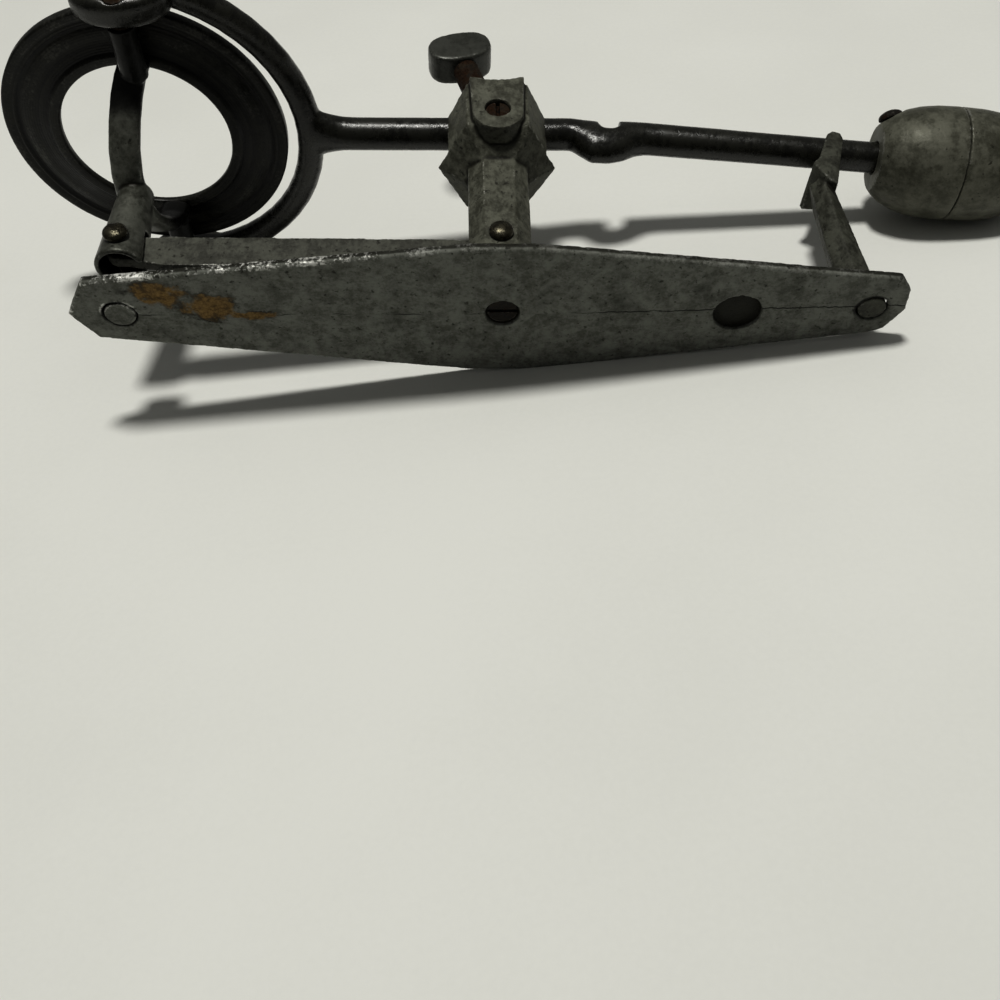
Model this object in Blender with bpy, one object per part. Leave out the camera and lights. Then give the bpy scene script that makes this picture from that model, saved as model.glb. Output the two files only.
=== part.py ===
"""Egg grading balance: a cast base with a pivoted beam, a level pan and a sliding weight.

Metres, +Z up from the underside of the base.  The origin is on that underside, half way
along the whole object, and the pan is on the -X side.  Distances along X are given from
the axis of the centre post.  The beam lies at rest on the forked post.
"""

import math

import bmesh
import bpy
from mathutils import Matrix, Vector

MM = 0.001

# ---------------------------------------------------------------- driving dimensions
arm_length = 77.9 * MM          # pin to pin on the check link
pivot_lead = 3.0 * MM           # pan pivot, nearer the post than the stem pin
pivot_drop = 7.6 * MM           # beam pivot below the centre line of the arm
link_pin_z = 16.2 * MM          # lower pin height, in the centre post
rest_rise = 1.0 * MM            # pan pivot above the beam pivot when the beam is at rest

base_thickness = 2.1 * MM
recess_depth = 1.3 * MM         # blind round recess in the underside
base_half_width = 17.5 * MM
base_tip = 10.3 * MM            # stop peg to the left tip
base_tail = 7.1 * MM            # rest post to the right end

beam_z = 54.4 * MM              # centre line of the level arm
beam_radius = 3.6 * MM
rod_radius = 3.45 * MM          # the part of the beam that the weight slides on
bend_x = 22.0 * MM              # where the right arm starts to fall
bend_slope = 0.120              # fall of the right arm per unit of length

yoke_radius = 36.0 * MM         # centre line of the half ring round the pan
yoke_tube = 3.0 * MM
lug_half_x = 10.0 * MM          # oval end of each yoke arm
lug_half_z = 7.2 * MM
lug_drop = 2.5 * MM             # centre of the oval below the arm's centre line
lug_thickness = 5.7 * MM
lug_inset = 4.1 * MM            # inner face of a lug, inside the yoke's centre line

ring_gap = 2.2 * MM             # between the ring and the yoke
ring_hole = 18.4 * MM
ring_height = 3.9 * MM
ring_drop = 1.7 * MM            # lowest face of the ring below the arm's centre line

head_radius = 13.3 * MM         # corner radius of the hexagonal head
head_low_drop = 11.1 * MM       # bottom and top of the head's sides, from the arm's centre line
head_top_rise = 2.6 * MM
post_half = 6.5 * MM            # half width of the eight-sided post

weight_lead = 10.6 * MM         # rest post to the flat end of the weight, along X
weight_length = 34.4 * MM
weight_radius = 12.3 * MM

rest_x = 74.5 * MM              # post axis to the rest post's rivet
recess_lead = 27.1 * MM         # recess, nearer the post than the rest post
stop_lead = 2.3 * MM            # stop peg, nearer the post than the stem pin

stud_tilt = math.radians(16.0)
knob_half_x = 7.6 * MM
knob_half_z = 5.05 * MM
knob_half_y = 3.6 * MM

# ---------------------------------------------------------------- clearances
touch_gap = 0.3 * MM            # between faces that rest on each other
pin_gap = 0.1 * MM              # radial, round a pin or screw
slide_gap = 0.08 * MM           # radial, between the beam and the weight

# ---------------------------------------------------------------- derived
pivot_z = beam_z - pivot_drop
lug_z = beam_z - lug_drop
lug_inner = yoke_radius - lug_inset
lug_outer = lug_inner + lug_thickness
ring_seat_z = beam_z - ring_drop
ring_rim_z = ring_seat_z + ring_height
ring_outer = yoke_radius - yoke_tube - ring_gap
head_low_z = beam_z - head_low_drop
head_top_z = beam_z + head_top_rise
stop_x = arm_length - stop_lead
base_left = stop_x + base_tip
base_right = rest_x + base_tail
recess_x = rest_x - recess_lead
weight_start = rest_x + weight_lead
rod_end = weight_start + weight_length + 2.8 * MM
post_x = (arm_length + ring_outer - rod_end) / 2
pan_x = post_x - arm_length
pan_pivot_x = pan_x + pivot_lead
pan_pivot_z = pivot_z + rest_rise
stem_pin_z = link_pin_z + rest_rise
plate_top = base_thickness + touch_gap
half_slot = beam_radius + 0.4 * MM
fall_angle = math.atan(bend_slope)
link_thickness = 2.4 * MM
link_slot = link_thickness / 2 + 0.4 * MM
link_high = 3.6 * MM            # edges of the link, from its pin line
link_low = 4.6 * MM
link_end_radius = 3.2 * MM
pivot_screw_r = 2.6 * MM
pan_screw_r = 1.9 * MM
boss_radius = 2.8 * MM
stop_rivet_r = 3.1 * MM
rest_rivet_r = 2.9 * MM
post_pin_r = 1.6 * MM
stem_pin_r = 1.5 * MM
stem_low_z = stem_pin_z - 4.8 * MM
bow_low_z = ring_seat_z - 17.9 * MM
stem_top_z = bow_low_z + 0.4 * MM
travel_drop = 5.3 * MM          # how far the pan sinks before the stem meets the peg
stop_top_z = stem_low_z - travel_drop - touch_gap


def clear_scene():
    """Remove every object that is already there."""
    for existing in list(bpy.data.objects):
        bpy.data.objects.remove(existing, do_unlink=True)


def make_material(name, colour, metallic, roughness):
    """Return a plain Principled material."""
    material = bpy.data.materials.new(name)
    material.use_nodes = True
    shader = material.node_tree.nodes["Principled BSDF"]
    shader.inputs["Base Color"].default_value = (*colour, 1.0)
    shader.inputs["Metallic"].default_value = metallic
    shader.inputs["Roughness"].default_value = roughness
    return material


def add_object(name, bm, material=None, smooth=True):
    """Turn a bmesh into a named object in the scene."""
    bmesh.ops.recalc_face_normals(bm, faces=bm.faces[:])
    mesh = bpy.data.meshes.new(name)
    bm.to_mesh(mesh)
    bm.free()
    if smooth:
        for polygon in mesh.polygons:
            polygon.use_smooth = True
    obj = bpy.data.objects.new(name, mesh)
    bpy.context.scene.collection.objects.link(obj)
    if material is not None:
        mesh.materials.append(material)
    return obj


def add_tool(name, bm, location=(0.0, 0.0, 0.0), rotation=(0.0, 0.0, 0.0)):
    """Add a hidden solid that a Boolean modifier uses."""
    obj = add_object(name, bm)
    obj.hide_render = True
    obj.display_type = "WIRE"
    obj.location = location
    obj.rotation_euler = rotation
    return obj


def combine(obj, tool, operation):
    """Add one exact Boolean modifier."""
    modifier = obj.modifiers.new(tool.name, "BOOLEAN")
    modifier.operation = operation
    modifier.solver = "EXACT"
    modifier.object = tool


def cut(obj, tool):
    """Cut a hidden solid out of an object."""
    combine(obj, tool, "DIFFERENCE")


def join(obj, tool):
    """Join a hidden solid to an object."""
    combine(obj, tool, "UNION")


def lathe(profile, steps=40):
    """Return a closed solid turned about Z from (radius, z) points, axis to axis."""
    bm = bmesh.new()
    rows = []
    for radius, height in profile:
        if radius < 1e-9:
            rows.append([bm.verts.new((0.0, 0.0, height))])
            continue
        row = []
        for step in range(steps):
            angle = 2.0 * math.pi * step / steps
            row.append(bm.verts.new((radius * math.cos(angle), radius * math.sin(angle), height)))
        rows.append(row)
    for low, high in zip(rows, rows[1:]):
        for step in range(steps):
            after = (step + 1) % steps
            corners = []
            for row, index in ((low, step), (low, after), (high, after), (high, step)):
                vertex = row[0] if len(row) == 1 else row[index]
                if vertex not in corners:
                    corners.append(vertex)
            bm.faces.new(corners)
    return bm


def ring_lathe(profile, steps=64):
    """Return a closed hoop turned about Z from a loop of (radius, z) points."""
    bm = bmesh.new()
    columns = []
    for step in range(steps):
        angle = 2.0 * math.pi * step / steps
        cosine = math.cos(angle)
        sine = math.sin(angle)
        columns.append([bm.verts.new((r * cosine, r * sine, z)) for r, z in profile])
    count = len(profile)
    for step in range(steps):
        here = columns[step]
        after = columns[(step + 1) % steps]
        for index in range(count):
            following = (index + 1) % count
            bm.faces.new((here[index], after[index], after[following], here[following]))
    return bm


def prism(outline, low, high, axis="Z"):
    """Return a prism of a flat outline between two planes across one axis."""
    bm = bmesh.new()
    rows = []
    for level in (low, high):
        row = []
        for a, b in outline:
            point = (a, b, level) if axis == "Z" else (a, level, b)
            row.append(bm.verts.new(point))
        rows.append(row)
    count = len(outline)
    bm.faces.new(rows[0])
    bm.faces.new(list(reversed(rows[1])))
    for index in range(count):
        after = (index + 1) % count
        bm.faces.new((rows[0][index], rows[0][after], rows[1][after], rows[1][index]))
    return bm


def bevel_all(bm, width, segments=2, least_angle=25.0):
    """Round every edge that is sharper than an angle."""
    limit = math.radians(least_angle)
    bmesh.ops.recalc_face_normals(bm, faces=bm.faces[:])
    sharp = [edge for edge in bm.edges if edge.calc_face_angle(0.0) > limit]
    bmesh.ops.bevel(
        bm, geom=sharp, offset=width, segments=segments, profile=0.5, affect="EDGES", material=-1
    )
    return bm


def sweep(points, sizes, flat, count=24, power=2.0):
    """Return a solid bar swept along a path that lies across the vector flat.

    Each size is (half size along flat, half size in the plane of the path).
    """
    bm = bmesh.new()
    flat = Vector(flat)
    path = [Vector(point) for point in points]
    rows = []
    for index, point in enumerate(path):
        before = path[max(index - 1, 0)]
        after = path[min(index + 1, len(path) - 1)]
        tangent = (after - before).normalized()
        across = tangent.cross(flat).normalized()
        row = []
        for step in range(count):
            angle = 2.0 * math.pi * step / count
            u = math.copysign(abs(math.cos(angle)) ** (2.0 / power), math.cos(angle))
            v = math.copysign(abs(math.sin(angle)) ** (2.0 / power), math.sin(angle))
            place = point + flat * (u * sizes[index][0]) + across * (v * sizes[index][1])
            row.append(bm.verts.new(place))
        rows.append(row)
    bm.faces.new(rows[0])
    bm.faces.new(list(reversed(rows[-1])))
    for low, high in zip(rows, rows[1:]):
        for step in range(count):
            after = (step + 1) % count
            bm.faces.new((low[step], low[after], high[after], high[step]))
    return bm


def rod(radius, low, high, steps=32):
    """Return a plain cylinder along Z."""
    return lathe([(0.0, low), (radius, low), (radius, high), (0.0, high)], steps)


def block(x_range, y_range, z_range):
    """Return a box."""
    outline = [
        (x_range[0], y_range[0]),
        (x_range[1], y_range[0]),
        (x_range[1], y_range[1]),
        (x_range[0], y_range[1]),
    ]
    return prism(outline, z_range[0], z_range[1])


def dome(radius, rise, low, steps=5):
    """Return profile points from a rim in to the axis over a round head."""
    points = []
    for step in range(steps + 1):
        angle = 0.5 * math.pi * step / steps
        height = low + rise * math.sin(angle)
        points.append((radius * math.cos(angle) if step < steps else 0.0, height))
    return points


def screw_slot(name, obj, length, depth_low, depth_high, width=0.8 * MM):
    """Cut a driver slot across the Z end of a turned screw."""
    tool = add_tool(name, block((-length, length), (-width / 2, width / 2), (depth_low, depth_high)))
    tool.parent = obj
    cut(obj, tool)


TO_NEAR = (math.radians(90.0), 0.0, 0.0)    # local +Z points along -Y
TO_FAR = (math.radians(-90.0), 0.0, 0.0)    # local +Z points along +Y


def cylinder_tool(name, radius, low, high, location, rotation=(0.0, 0.0, 0.0)):
    """Add a hidden round cutter."""
    return add_tool(name, rod(radius, low, high), location, rotation)


def build_base(cast):
    """Long base plate with its screw and rivet holes and a blind recess."""
    outline = [
        (post_x - base_left, 0.0),
        (post_x - base_left + 4.9 * MM, -8.9 * MM),
        (post_x - 7.0 * MM, -base_half_width),
        (post_x + 7.0 * MM, -base_half_width),
        (post_x + base_right - 3.2 * MM, -9.6 * MM),
        (post_x + base_right - 0.7 * MM, -6.2 * MM),
        (post_x + base_right, -0.8 * MM),
        (post_x + base_right - 2.9 * MM, 4.9 * MM),
        (post_x + base_right - 5.5 * MM, 6.2 * MM),
        (post_x + 7.0 * MM, base_half_width),
        (post_x - 7.0 * MM, base_half_width),
        (post_x - base_left + 4.4 * MM, 7.0 * MM),
    ]
    bm = prism(outline, 0.0, base_thickness)
    plate = add_object("base_plate", bevel_all(bm, 0.3 * MM, 1, 60.0), cast, smooth=False)
    low = -1.0 * MM
    high = base_thickness + 1.0 * MM
    rounds = (
        ("cut_recess", 4.85 * MM, recess_depth, recess_x, 0.0),
        ("cut_stop_rivet", stop_rivet_r + 0.2 * MM, high, -stop_x, 0.0),
        ("cut_rest_rivet", rest_rivet_r + 0.2 * MM, high, rest_x, -1.2 * MM),
    )
    for name, radius, top, x, y in rounds:
        cut(plate, cylinder_tool(name, radius, low, top, (post_x + x, y, 0.0)))
    seat = [(0.0, low), (3.45 * MM, low), (3.45 * MM, 1.0 * MM), (2.4 * MM, 1.7 * MM), (2.4 * MM, high), (0.0, high)]
    seat = lathe(seat)
    cut(plate, add_tool("cut_foot_screw", seat, (post_x, 0.0, 0.0)))


def hexagon(radius, height):
    """Return six corner points, the first on +X."""
    points = []
    for step in range(6):
        angle = math.pi * step / 3.0
        points.append(Vector((radius * math.cos(angle), radius * math.sin(angle), height)))
    return points


def hull(points):
    """Return the convex solid round a set of points."""
    bm = bmesh.new()
    for point in points:
        bm.verts.new(point)
    result = bmesh.ops.convex_hull(bm, input=bm.verts[:])
    spare = [item for item in result["geom_interior"] if isinstance(item, bmesh.types.BMVert)]
    bmesh.ops.delete(bm, geom=spare, context="VERTS")
    bmesh.ops.dissolve_limit(bm, angle_limit=math.radians(1.0), verts=bm.verts[:], edges=bm.edges[:])
    return bm


def build_post(cast):
    """Eight-sided post with a hexagonal slotted head and two screw ears."""
    face = post_half - 3.2 * MM
    outline = [
        (-post_half, -face),
        (-face, -post_half),
        (face, -post_half),
        (post_half, -face),
        (post_half, face),
        (face, post_half),
        (-face, post_half),
        (-post_half, face),
    ]
    post = add_object("centre_post", prism(outline, plate_top, head_low_z - 2.3 * MM), cast, smooth=False)
    post.location = (post_x, 0.0, 0.0)

    corners = hexagon(post_half + 1.1 * MM, head_low_z - 4.5 * MM)
    corners += hexagon(head_radius, head_low_z)
    shoulder_z = head_top_z - 3.0 * MM
    for index, corner in enumerate(hexagon(head_radius, head_top_z)):
        if index in (0, 3):
            corner.z = shoulder_z
        corners.append(corner)
    head = add_tool("join_head", hull(corners), (post_x, 0.0, 0.0))
    join(post, head)

    ear_half = 5.5 * MM
    ear_face = head_radius - 0.1 * MM
    ear_low_centre = pivot_z - 1.1 * MM
    ear = [(-ear_half - 0.5 * MM, head_top_z + 0.5 * MM), (-ear_half, ear_low_centre)]
    for step in range(1, 12):
        angle = math.pi + math.pi * step / 12.0
        ear.append((ear_half * math.cos(angle), ear_low_centre + ear_half * math.sin(angle)))
    ear += [(ear_half, ear_low_centre), (ear_half + 0.5 * MM, head_top_z + 0.5 * MM)]
    for name, sign in (("near", -1.0), ("far", 1.0)):
        low, high = sorted((sign * (ear_face - 4.2 * MM), sign * ear_face))
        join(post, add_tool("join_ear_" + name, prism(ear, low, high, "Y"), (post_x, 0.0, 0.0)))

    floor = head_low_z + 0.1 * MM
    slot = block((-20.0 * MM, 20.0 * MM), (-half_slot, half_slot), (floor, floor + 27.0 * MM))
    cut(post, add_tool("cut_beam_slot", slot, (post_x, 0.0, 0.0)))
    floor = link_pin_z - link_low - 1.0 * MM
    foot = block((-10.0 * MM, 10.0 * MM), (-link_slot, link_slot), (floor, link_pin_z + 7.4 * MM))
    cut(post, add_tool("cut_link_slot", foot, (post_x, 0.0, 0.0)))
    screw_hole = cylinder_tool(
        "cut_pivot_holes", pivot_screw_r + pin_gap, -20.0 * MM, 20.0 * MM, (post_x, 0.0, pivot_z), TO_NEAR
    )
    cut(post, screw_hole)
    pin_hole = cylinder_tool(
        "cut_link_pin", post_pin_r + pin_gap, -10.0 * MM, 10.0 * MM, (post_x, 0.0, link_pin_z), TO_NEAR
    )
    cut(post, pin_hole)
    cut(post, cylinder_tool("cut_foot_thread", 2.1 * MM, 0.0, 9.6 * MM, (post_x, 0.0, 0.0)))


def build_foot_screw(steel):
    """Countersunk screw that holds the post from below."""
    profile = [
        (0.0, 0.8 * MM),
        (3.15 * MM, 0.8 * MM),
        (3.15 * MM, 1.05 * MM),
        (2.0 * MM, 1.85 * MM),
        (2.0 * MM, 9.2 * MM),
        (0.0, 9.2 * MM),
    ]
    screw = add_object("foot_screw", lathe(profile), steel, smooth=False)
    screw.location = (post_x, 0.0, 0.0)
    screw_slot("cut_foot_slot", screw, 5.0 * MM, -1.0 * MM, 1.35 * MM)


def build_pivot_screws(steel):
    """Cone-point screws in the ears, on the beam pivot axis."""
    profile = [
        (0.0, beam_radius - 1.3 * MM),
        (0.4 * MM, beam_radius - 1.3 * MM),
        (pivot_screw_r, beam_radius + 0.9 * MM),
        (pivot_screw_r, head_radius - 0.9 * MM),
        (0.0, head_radius - 0.9 * MM),
    ]
    for name, turn in (("pivot_screw_near", TO_NEAR), ("pivot_screw_far", TO_FAR)):
        screw = add_object(name, lathe(profile), steel, smooth=False)
        screw.location = (post_x, 0.0, pivot_z)
        screw.rotation_euler = turn
        low = head_radius - 1.8 * MM
        tool = block((-0.4 * MM, 0.4 * MM), (-4.0 * MM, 4.0 * MM), (low, low + 2.5 * MM))
        slot = add_tool("cut_slot_" + name, tool)
        slot.parent = screw
        cut(screw, slot)


def build_pin(name, radius, half_length, head_radius_pin, location, steel):
    """Cross pin with a round head on each end."""
    rise = 1.3 * MM
    top = [(radius, half_length), (head_radius_pin, half_length)]
    top += dome(head_radius_pin, rise, half_length + 0.2 * MM)
    bottom = [(r, -z) for r, z in reversed(top)]
    pin = add_object(name, lathe(bottom + top, 28), steel)
    pin.location = location
    pin.rotation_euler = TO_NEAR


def build_link(cast):
    """Flat check link from the centre post to the pan stem."""
    tilt = math.asin(rest_rise / arm_length)
    outline = []
    for step in range(9):
        angle = -math.pi / 2 + math.pi * step / 8
        edge = link_low if angle < 0.0 else link_high
        outline.append((link_high * math.cos(angle), edge * math.sin(angle)))
    outline.append((-arm_length + 9.0 * MM, link_high))
    outline.append((-arm_length + 2.0 * MM, link_end_radius))
    for step in range(9):
        angle = math.pi / 2 + math.pi * step / 8
        x = -arm_length + link_end_radius * math.cos(angle)
        outline.append((x, link_end_radius * math.sin(angle)))
    outline.append((-arm_length + 2.0 * MM, -link_end_radius))
    outline.append((-arm_length + 9.0 * MM, -link_low))
    bm = prism(outline, -link_thickness / 2, link_thickness / 2, "Y")
    link = add_object("check_link", bm, cast, smooth=False)
    link.location = (post_x, 0.0, link_pin_z)
    link.rotation_euler = (0.0, tilt, 0.0)
    for name, radius, x in (("post", post_pin_r, 0.0), ("stem", stem_pin_r, -arm_length)):
        tool = cylinder_tool("cut_link_" + name, radius + pin_gap, -4 * MM, 4 * MM, (x, 0, 0), TO_NEAR)
        tool.parent = link
        cut(link, tool)


def build_stop_peg(cast):
    """Short stop under the stem, riveted through the base."""
    profile = [
        (0.0, 0.0),
        (stop_rivet_r, 0.0),
        (stop_rivet_r, plate_top),
        (4.6 * MM, plate_top),
        (4.6 * MM, stop_top_z - 0.5 * MM),
        (4.1 * MM, stop_top_z),
        (0.0, stop_top_z),
    ]
    peg = add_object("stop_peg", lathe(profile), cast, smooth=False)
    peg.location = (post_x - stop_x, 0.0, 0.0)


def build_rest_post(cast):
    """Forked post that the beam lies in at rest, riveted through the base."""
    half_fork = rod_radius + touch_gap + 2.55 * MM
    rod_z = beam_z - (rest_x - bend_x) * bend_slope
    lower = [(-4.2, 4.0), (-6.6, -2.6), (-3.0, -5.2), (1.9, -2.6), (1.9, 4.0)]
    upper = [(-4.6, 4.0), (-7.0, -2.6), (-4.6, -5.2), (-1.6, -2.6), (-1.6, 4.0)]
    corners = [Vector((x * MM, y * MM, plate_top)) for x, y in lower]
    corners += [Vector((x * MM, y * MM, rod_z - 13.1 * MM)) for x, y in upper]
    post = add_object("rest_post", hull(corners), cast, smooth=False)
    post.location = (post_x + rest_x, 0.0, 0.0)

    tine = [(1.8, -2.5), (1.5, -0.5), (-0.2, 0.3), (-1.6, -0.9), (-4.6, -8.3), (-6.3, -10.1), (-6.0, -11.3)]
    feet = (
        ("near", -half_fork, 0.0, [(-4.2, -15.1), (-2.2, -17.1)]),
        ("far", -1.0 * MM, half_fork, [(-3.2, -11.5), (-0.6, -11.7)]),
    )
    for name, low, high, foot in feet:
        outline = [(x * MM, rod_z + z * MM) for x, z in tine + foot]
        fork = prism(outline, low, high, "Y")
        join(post, add_tool("join_tine_" + name, fork, (post_x + rest_x, 0.0, 0.0)))
    join(post, cylinder_tool("join_rivet", rest_rivet_r, 0.0, 3.5 * MM, (post_x + rest_x, -1.2 * MM, 0.0)))

    radius = rod_radius + touch_gap
    across = (0.0, math.radians(90.0) + fall_angle, 0.0)
    trough = cylinder_tool("cut_trough", radius, -25 * MM, 35 * MM, (post_x + rest_x, 0, rod_z), across)
    cut(post, trough)
    above = block((-20.0 * MM, 10.0 * MM), (-radius, radius), (rod_z + 0.1 * MM, rod_z + 12.0 * MM))
    cut(post, add_tool("cut_fork_gap", above, (post_x + rest_x, 0.0, 0.0)))


def beam_station(x, drop=0.0, side=beam_radius, tall=beam_radius):
    """Return one centre point and size of the beam, x from the post axis."""
    fall = max(x - bend_x, 0.0) * bend_slope
    return (post_x + x, 0.0, beam_z - fall - drop), (side, tall)


def build_beam(cast):
    """Cast beam: yoke, level arm, dip with a notch, falling arm and round rod."""
    joint_x = yoke_radius - arm_length - 1.1 * MM
    stations = [
        beam_station(joint_x, -0.5 * MM, 8.8 * MM, 2.3 * MM),
        beam_station(joint_x + 2.0 * MM, -0.4 * MM, 6.8 * MM, 2.9 * MM),
        beam_station(joint_x + 4.0 * MM, -0.3 * MM, 5.3 * MM, 3.2 * MM),
        beam_station(joint_x + 6.0 * MM, -0.2 * MM, 4.5 * MM, 3.4 * MM),
        beam_station(joint_x + 8.5 * MM, -0.1 * MM, 3.8 * MM, 3.5 * MM),
        beam_station(joint_x + 12.0 * MM),
        beam_station(-10.0 * MM),
        beam_station(bend_x - 5.0 * MM),
        beam_station(bend_x - 2.0 * MM, 1.2 * MM, 3.7 * MM, 4.5 * MM),
        beam_station(bend_x + 0.5 * MM, 2.5 * MM, 3.8 * MM, 5.7 * MM),
        beam_station(bend_x + 3.0 * MM, 2.3 * MM, 3.8 * MM, 5.75 * MM),
        beam_station(bend_x + 6.0 * MM, 1.5 * MM, 3.8 * MM, 5.2 * MM),
        beam_station(bend_x + 9.0 * MM, 0.5 * MM, 3.7 * MM, 4.1 * MM),
        beam_station(bend_x + 12.0 * MM),
        beam_station(bend_x + 38.0 * MM, 0.0, rod_radius, rod_radius),
        beam_station(rod_end - 0.5 * MM, 0.0, rod_radius, rod_radius),
        beam_station(rod_end, 0.0, rod_radius - 0.5 * MM, rod_radius - 0.5 * MM),
    ]
    points = [station[0] for station in stations]
    sizes = [station[1] for station in stations]
    beam = add_object("beam", sweep(points, sizes, (0.0, 1.0, 0.0), 32), cast, smooth=False)

    yoke_z = beam_z + 0.7 * MM
    path = [(pan_x - 3.0 * MM, -yoke_radius, yoke_z)]
    for step in range(25):
        angle = math.radians(-90.0 + 7.5 * step)
        path.append((pan_x + yoke_radius * math.cos(angle), yoke_radius * math.sin(angle), yoke_z))
    path.append((pan_x - 3.0 * MM, yoke_radius, yoke_z))
    tube = sweep(path, [(yoke_tube, yoke_tube)] * len(path), (0.0, 0.0, 1.0), 20)
    join(beam, add_tool("join_yoke", tube))

    lug = [
        (0.0, 0.0),
        (lug_half_x - 0.8 * MM, 0.0),
        (lug_half_x, 0.8 * MM),
        (lug_half_x, lug_thickness - 2.0 * MM),
        (lug_half_x - 0.7 * MM, lug_thickness - 0.7 * MM),
        (lug_half_x - 2.2 * MM, lug_thickness),
        (0.0, lug_thickness),
    ]
    for name, sign, turn in (("near", -1.0, TO_NEAR), ("far", 1.0, TO_FAR)):
        oval = lathe(lug)
        bmesh.ops.scale(oval, vec=(1.0, lug_half_z / lug_half_x, 1.0), verts=oval.verts[:])
        spot = (pan_pivot_x, sign * lug_inner, lug_z)
        join(beam, add_tool("join_lug_" + name, oval, spot, turn))
        spot = (pan_pivot_x, 0.0, pan_pivot_z)
        hole = rod(pan_screw_r + pin_gap, lug_inner - 8.0 * MM, lug_outer + 8.0 * MM)
        cut(beam, add_tool("cut_lug_" + name, hole, spot, turn))

    hub_radius = 3.1 * MM
    hub = [(hub_radius, beam_z - pivot_z), (hub_radius, 0.0)]
    for step in range(1, 12):
        angle = -math.pi * step / 12.0
        hub.append((hub_radius * math.cos(angle), hub_radius * math.sin(angle)))
    hub += [(-hub_radius, 0.0), (-hub_radius, beam_z - pivot_z)]
    hub_body = prism(hub, -beam_radius + 0.2 * MM, beam_radius - 0.2 * MM, "Y")
    join(beam, add_tool("join_hub", hub_body, (post_x, 0.0, pivot_z)))
    side = beam_radius + 1.1 * MM
    dimple = [(0.0, beam_radius - 2.1 * MM), (3.0 * MM, side), (3.0 * MM, side + 1.3 * MM), (0.0, side + 1.3 * MM)]
    for name, turn in (("near", TO_NEAR), ("far", TO_FAR)):
        cut(beam, add_tool("cut_dimple_" + name, lathe(dimple), (post_x, 0.0, pivot_z), turn))

    floor = (post_x + bend_x + 3.65 * MM, 0.0, beam_z + 0.2 * MM)
    cut(beam, cylinder_tool("cut_notch_floor", 2.25 * MM, -8.0 * MM, 8.0 * MM, floor, TO_NEAR))
    notch = block((-2.2 * MM, 2.2 * MM), (-8.0 * MM, 8.0 * MM), (0.0, 9.0 * MM))
    cut(beam, add_tool("cut_notch", notch, floor))
    stud_hole = rod(1.8 * MM + pin_gap, 0.6 * MM, 12.0 * MM)
    cut(beam, add_tool("cut_stud_hole", stud_hole, (post_x, 0.0, beam_z), (0.0, -stud_tilt, 0.0)))


def build_stud_and_knob(cast, steel):
    """Leaning stud on the beam above the pivot, and the thumb knob on it."""
    shoulder = beam_radius + 1.6 * MM
    knob_low = 23.9 * MM
    profile = [
        (0.0, 1.0 * MM),
        (1.8 * MM, 1.0 * MM),
        (1.8 * MM, shoulder),
        (3.1 * MM, shoulder),
        (3.1 * MM, knob_low - touch_gap),
        (2.2 * MM, knob_low - touch_gap),
        (2.2 * MM, knob_low + 4.6 * MM),
        (0.0, knob_low + 4.6 * MM),
    ]
    stud = add_object("knob_stud", lathe(profile), steel, smooth=False)
    stud.location = (post_x, 0.0, beam_z)
    stud.rotation_euler = (0.0, -stud_tilt, 0.0)

    outline = []
    for step in range(32):
        angle = 2.0 * math.pi * step / 32
        u = math.copysign(abs(math.cos(angle)) ** 0.8, math.cos(angle))
        v = math.copysign(abs(math.sin(angle)) ** 0.8, math.sin(angle))
        outline.append((knob_half_x * u, knob_low + knob_half_z + knob_half_z * v))
    bm = prism(outline, -knob_half_y, knob_half_y, "Y")
    knob = add_object("thumb_knob", bevel_all(bm, 0.7 * MM, 2, 60.0), cast, smooth=False)
    knob.location = (post_x, 0.0, beam_z)
    knob.rotation_euler = (0.0, -stud_tilt, 0.0)
    socket = add_tool("cut_knob_socket", rod(2.2 * MM + pin_gap, knob_low - 4 * MM, knob_low + 5 * MM))
    socket.parent = knob
    cut(knob, socket)


def build_pan_screws(steel):
    """Cone-point screws in the yoke lugs, on the pan pivot axis."""
    profile = [
        (0.0, lug_inner - 2.35 * MM),
        (0.4 * MM, lug_inner - 2.35 * MM),
        (pan_screw_r, lug_inner - 0.8 * MM),
        (pan_screw_r, lug_outer - 0.6 * MM),
        (0.0, lug_outer - 0.6 * MM),
    ]
    for name, turn in (("pan_screw_near", TO_NEAR), ("pan_screw_far", TO_FAR)):
        screw = add_object(name, lathe(profile), steel, smooth=False)
        screw.location = (pan_pivot_x, 0.0, pan_pivot_z)
        screw.rotation_euler = turn
        low = lug_outer - 1.5 * MM
        tool = block((-4.0 * MM, 4.0 * MM), (-0.4 * MM, 0.4 * MM), (low, low + 5.0 * MM))
        slot = add_tool("cut_slot_" + name, tool)
        slot.parent = screw
        cut(screw, slot)


def build_pan_ring(cast):
    """Shallow dished ring that the egg sits in."""
    seat = ring_seat_z
    rim = ring_rim_z
    profile = [
        (ring_hole, seat + 0.4 * MM),
        (ring_hole + 0.5 * MM, seat),
        (ring_hole + 2.4 * MM, seat),
        (ring_hole + 2.9 * MM, seat + 0.6 * MM),
        (ring_outer - 6.3 * MM, seat + 0.9 * MM),
        (ring_outer - 3.0 * MM, seat + 1.7 * MM),
        (ring_outer - 2.2 * MM, seat + 1.2 * MM),
        (ring_outer - 0.4 * MM, seat + 1.2 * MM),
        (ring_outer, seat + 1.6 * MM),
        (ring_outer, rim - 0.4 * MM),
        (ring_outer - 0.4 * MM, rim),
        (ring_outer - 1.3 * MM, rim),
        (ring_outer - 2.0 * MM, rim - 0.9 * MM),
        (ring_outer - 6.3 * MM, seat + 2.7 * MM),
        (ring_hole + 1.2 * MM, seat + 2.0 * MM),
        (ring_hole, seat + 1.4 * MM),
    ]
    ring = add_object("pan_ring", ring_lathe(profile, 72), cast, smooth=True)
    ring.location = (pan_x, 0.0, 0.0)


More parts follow.
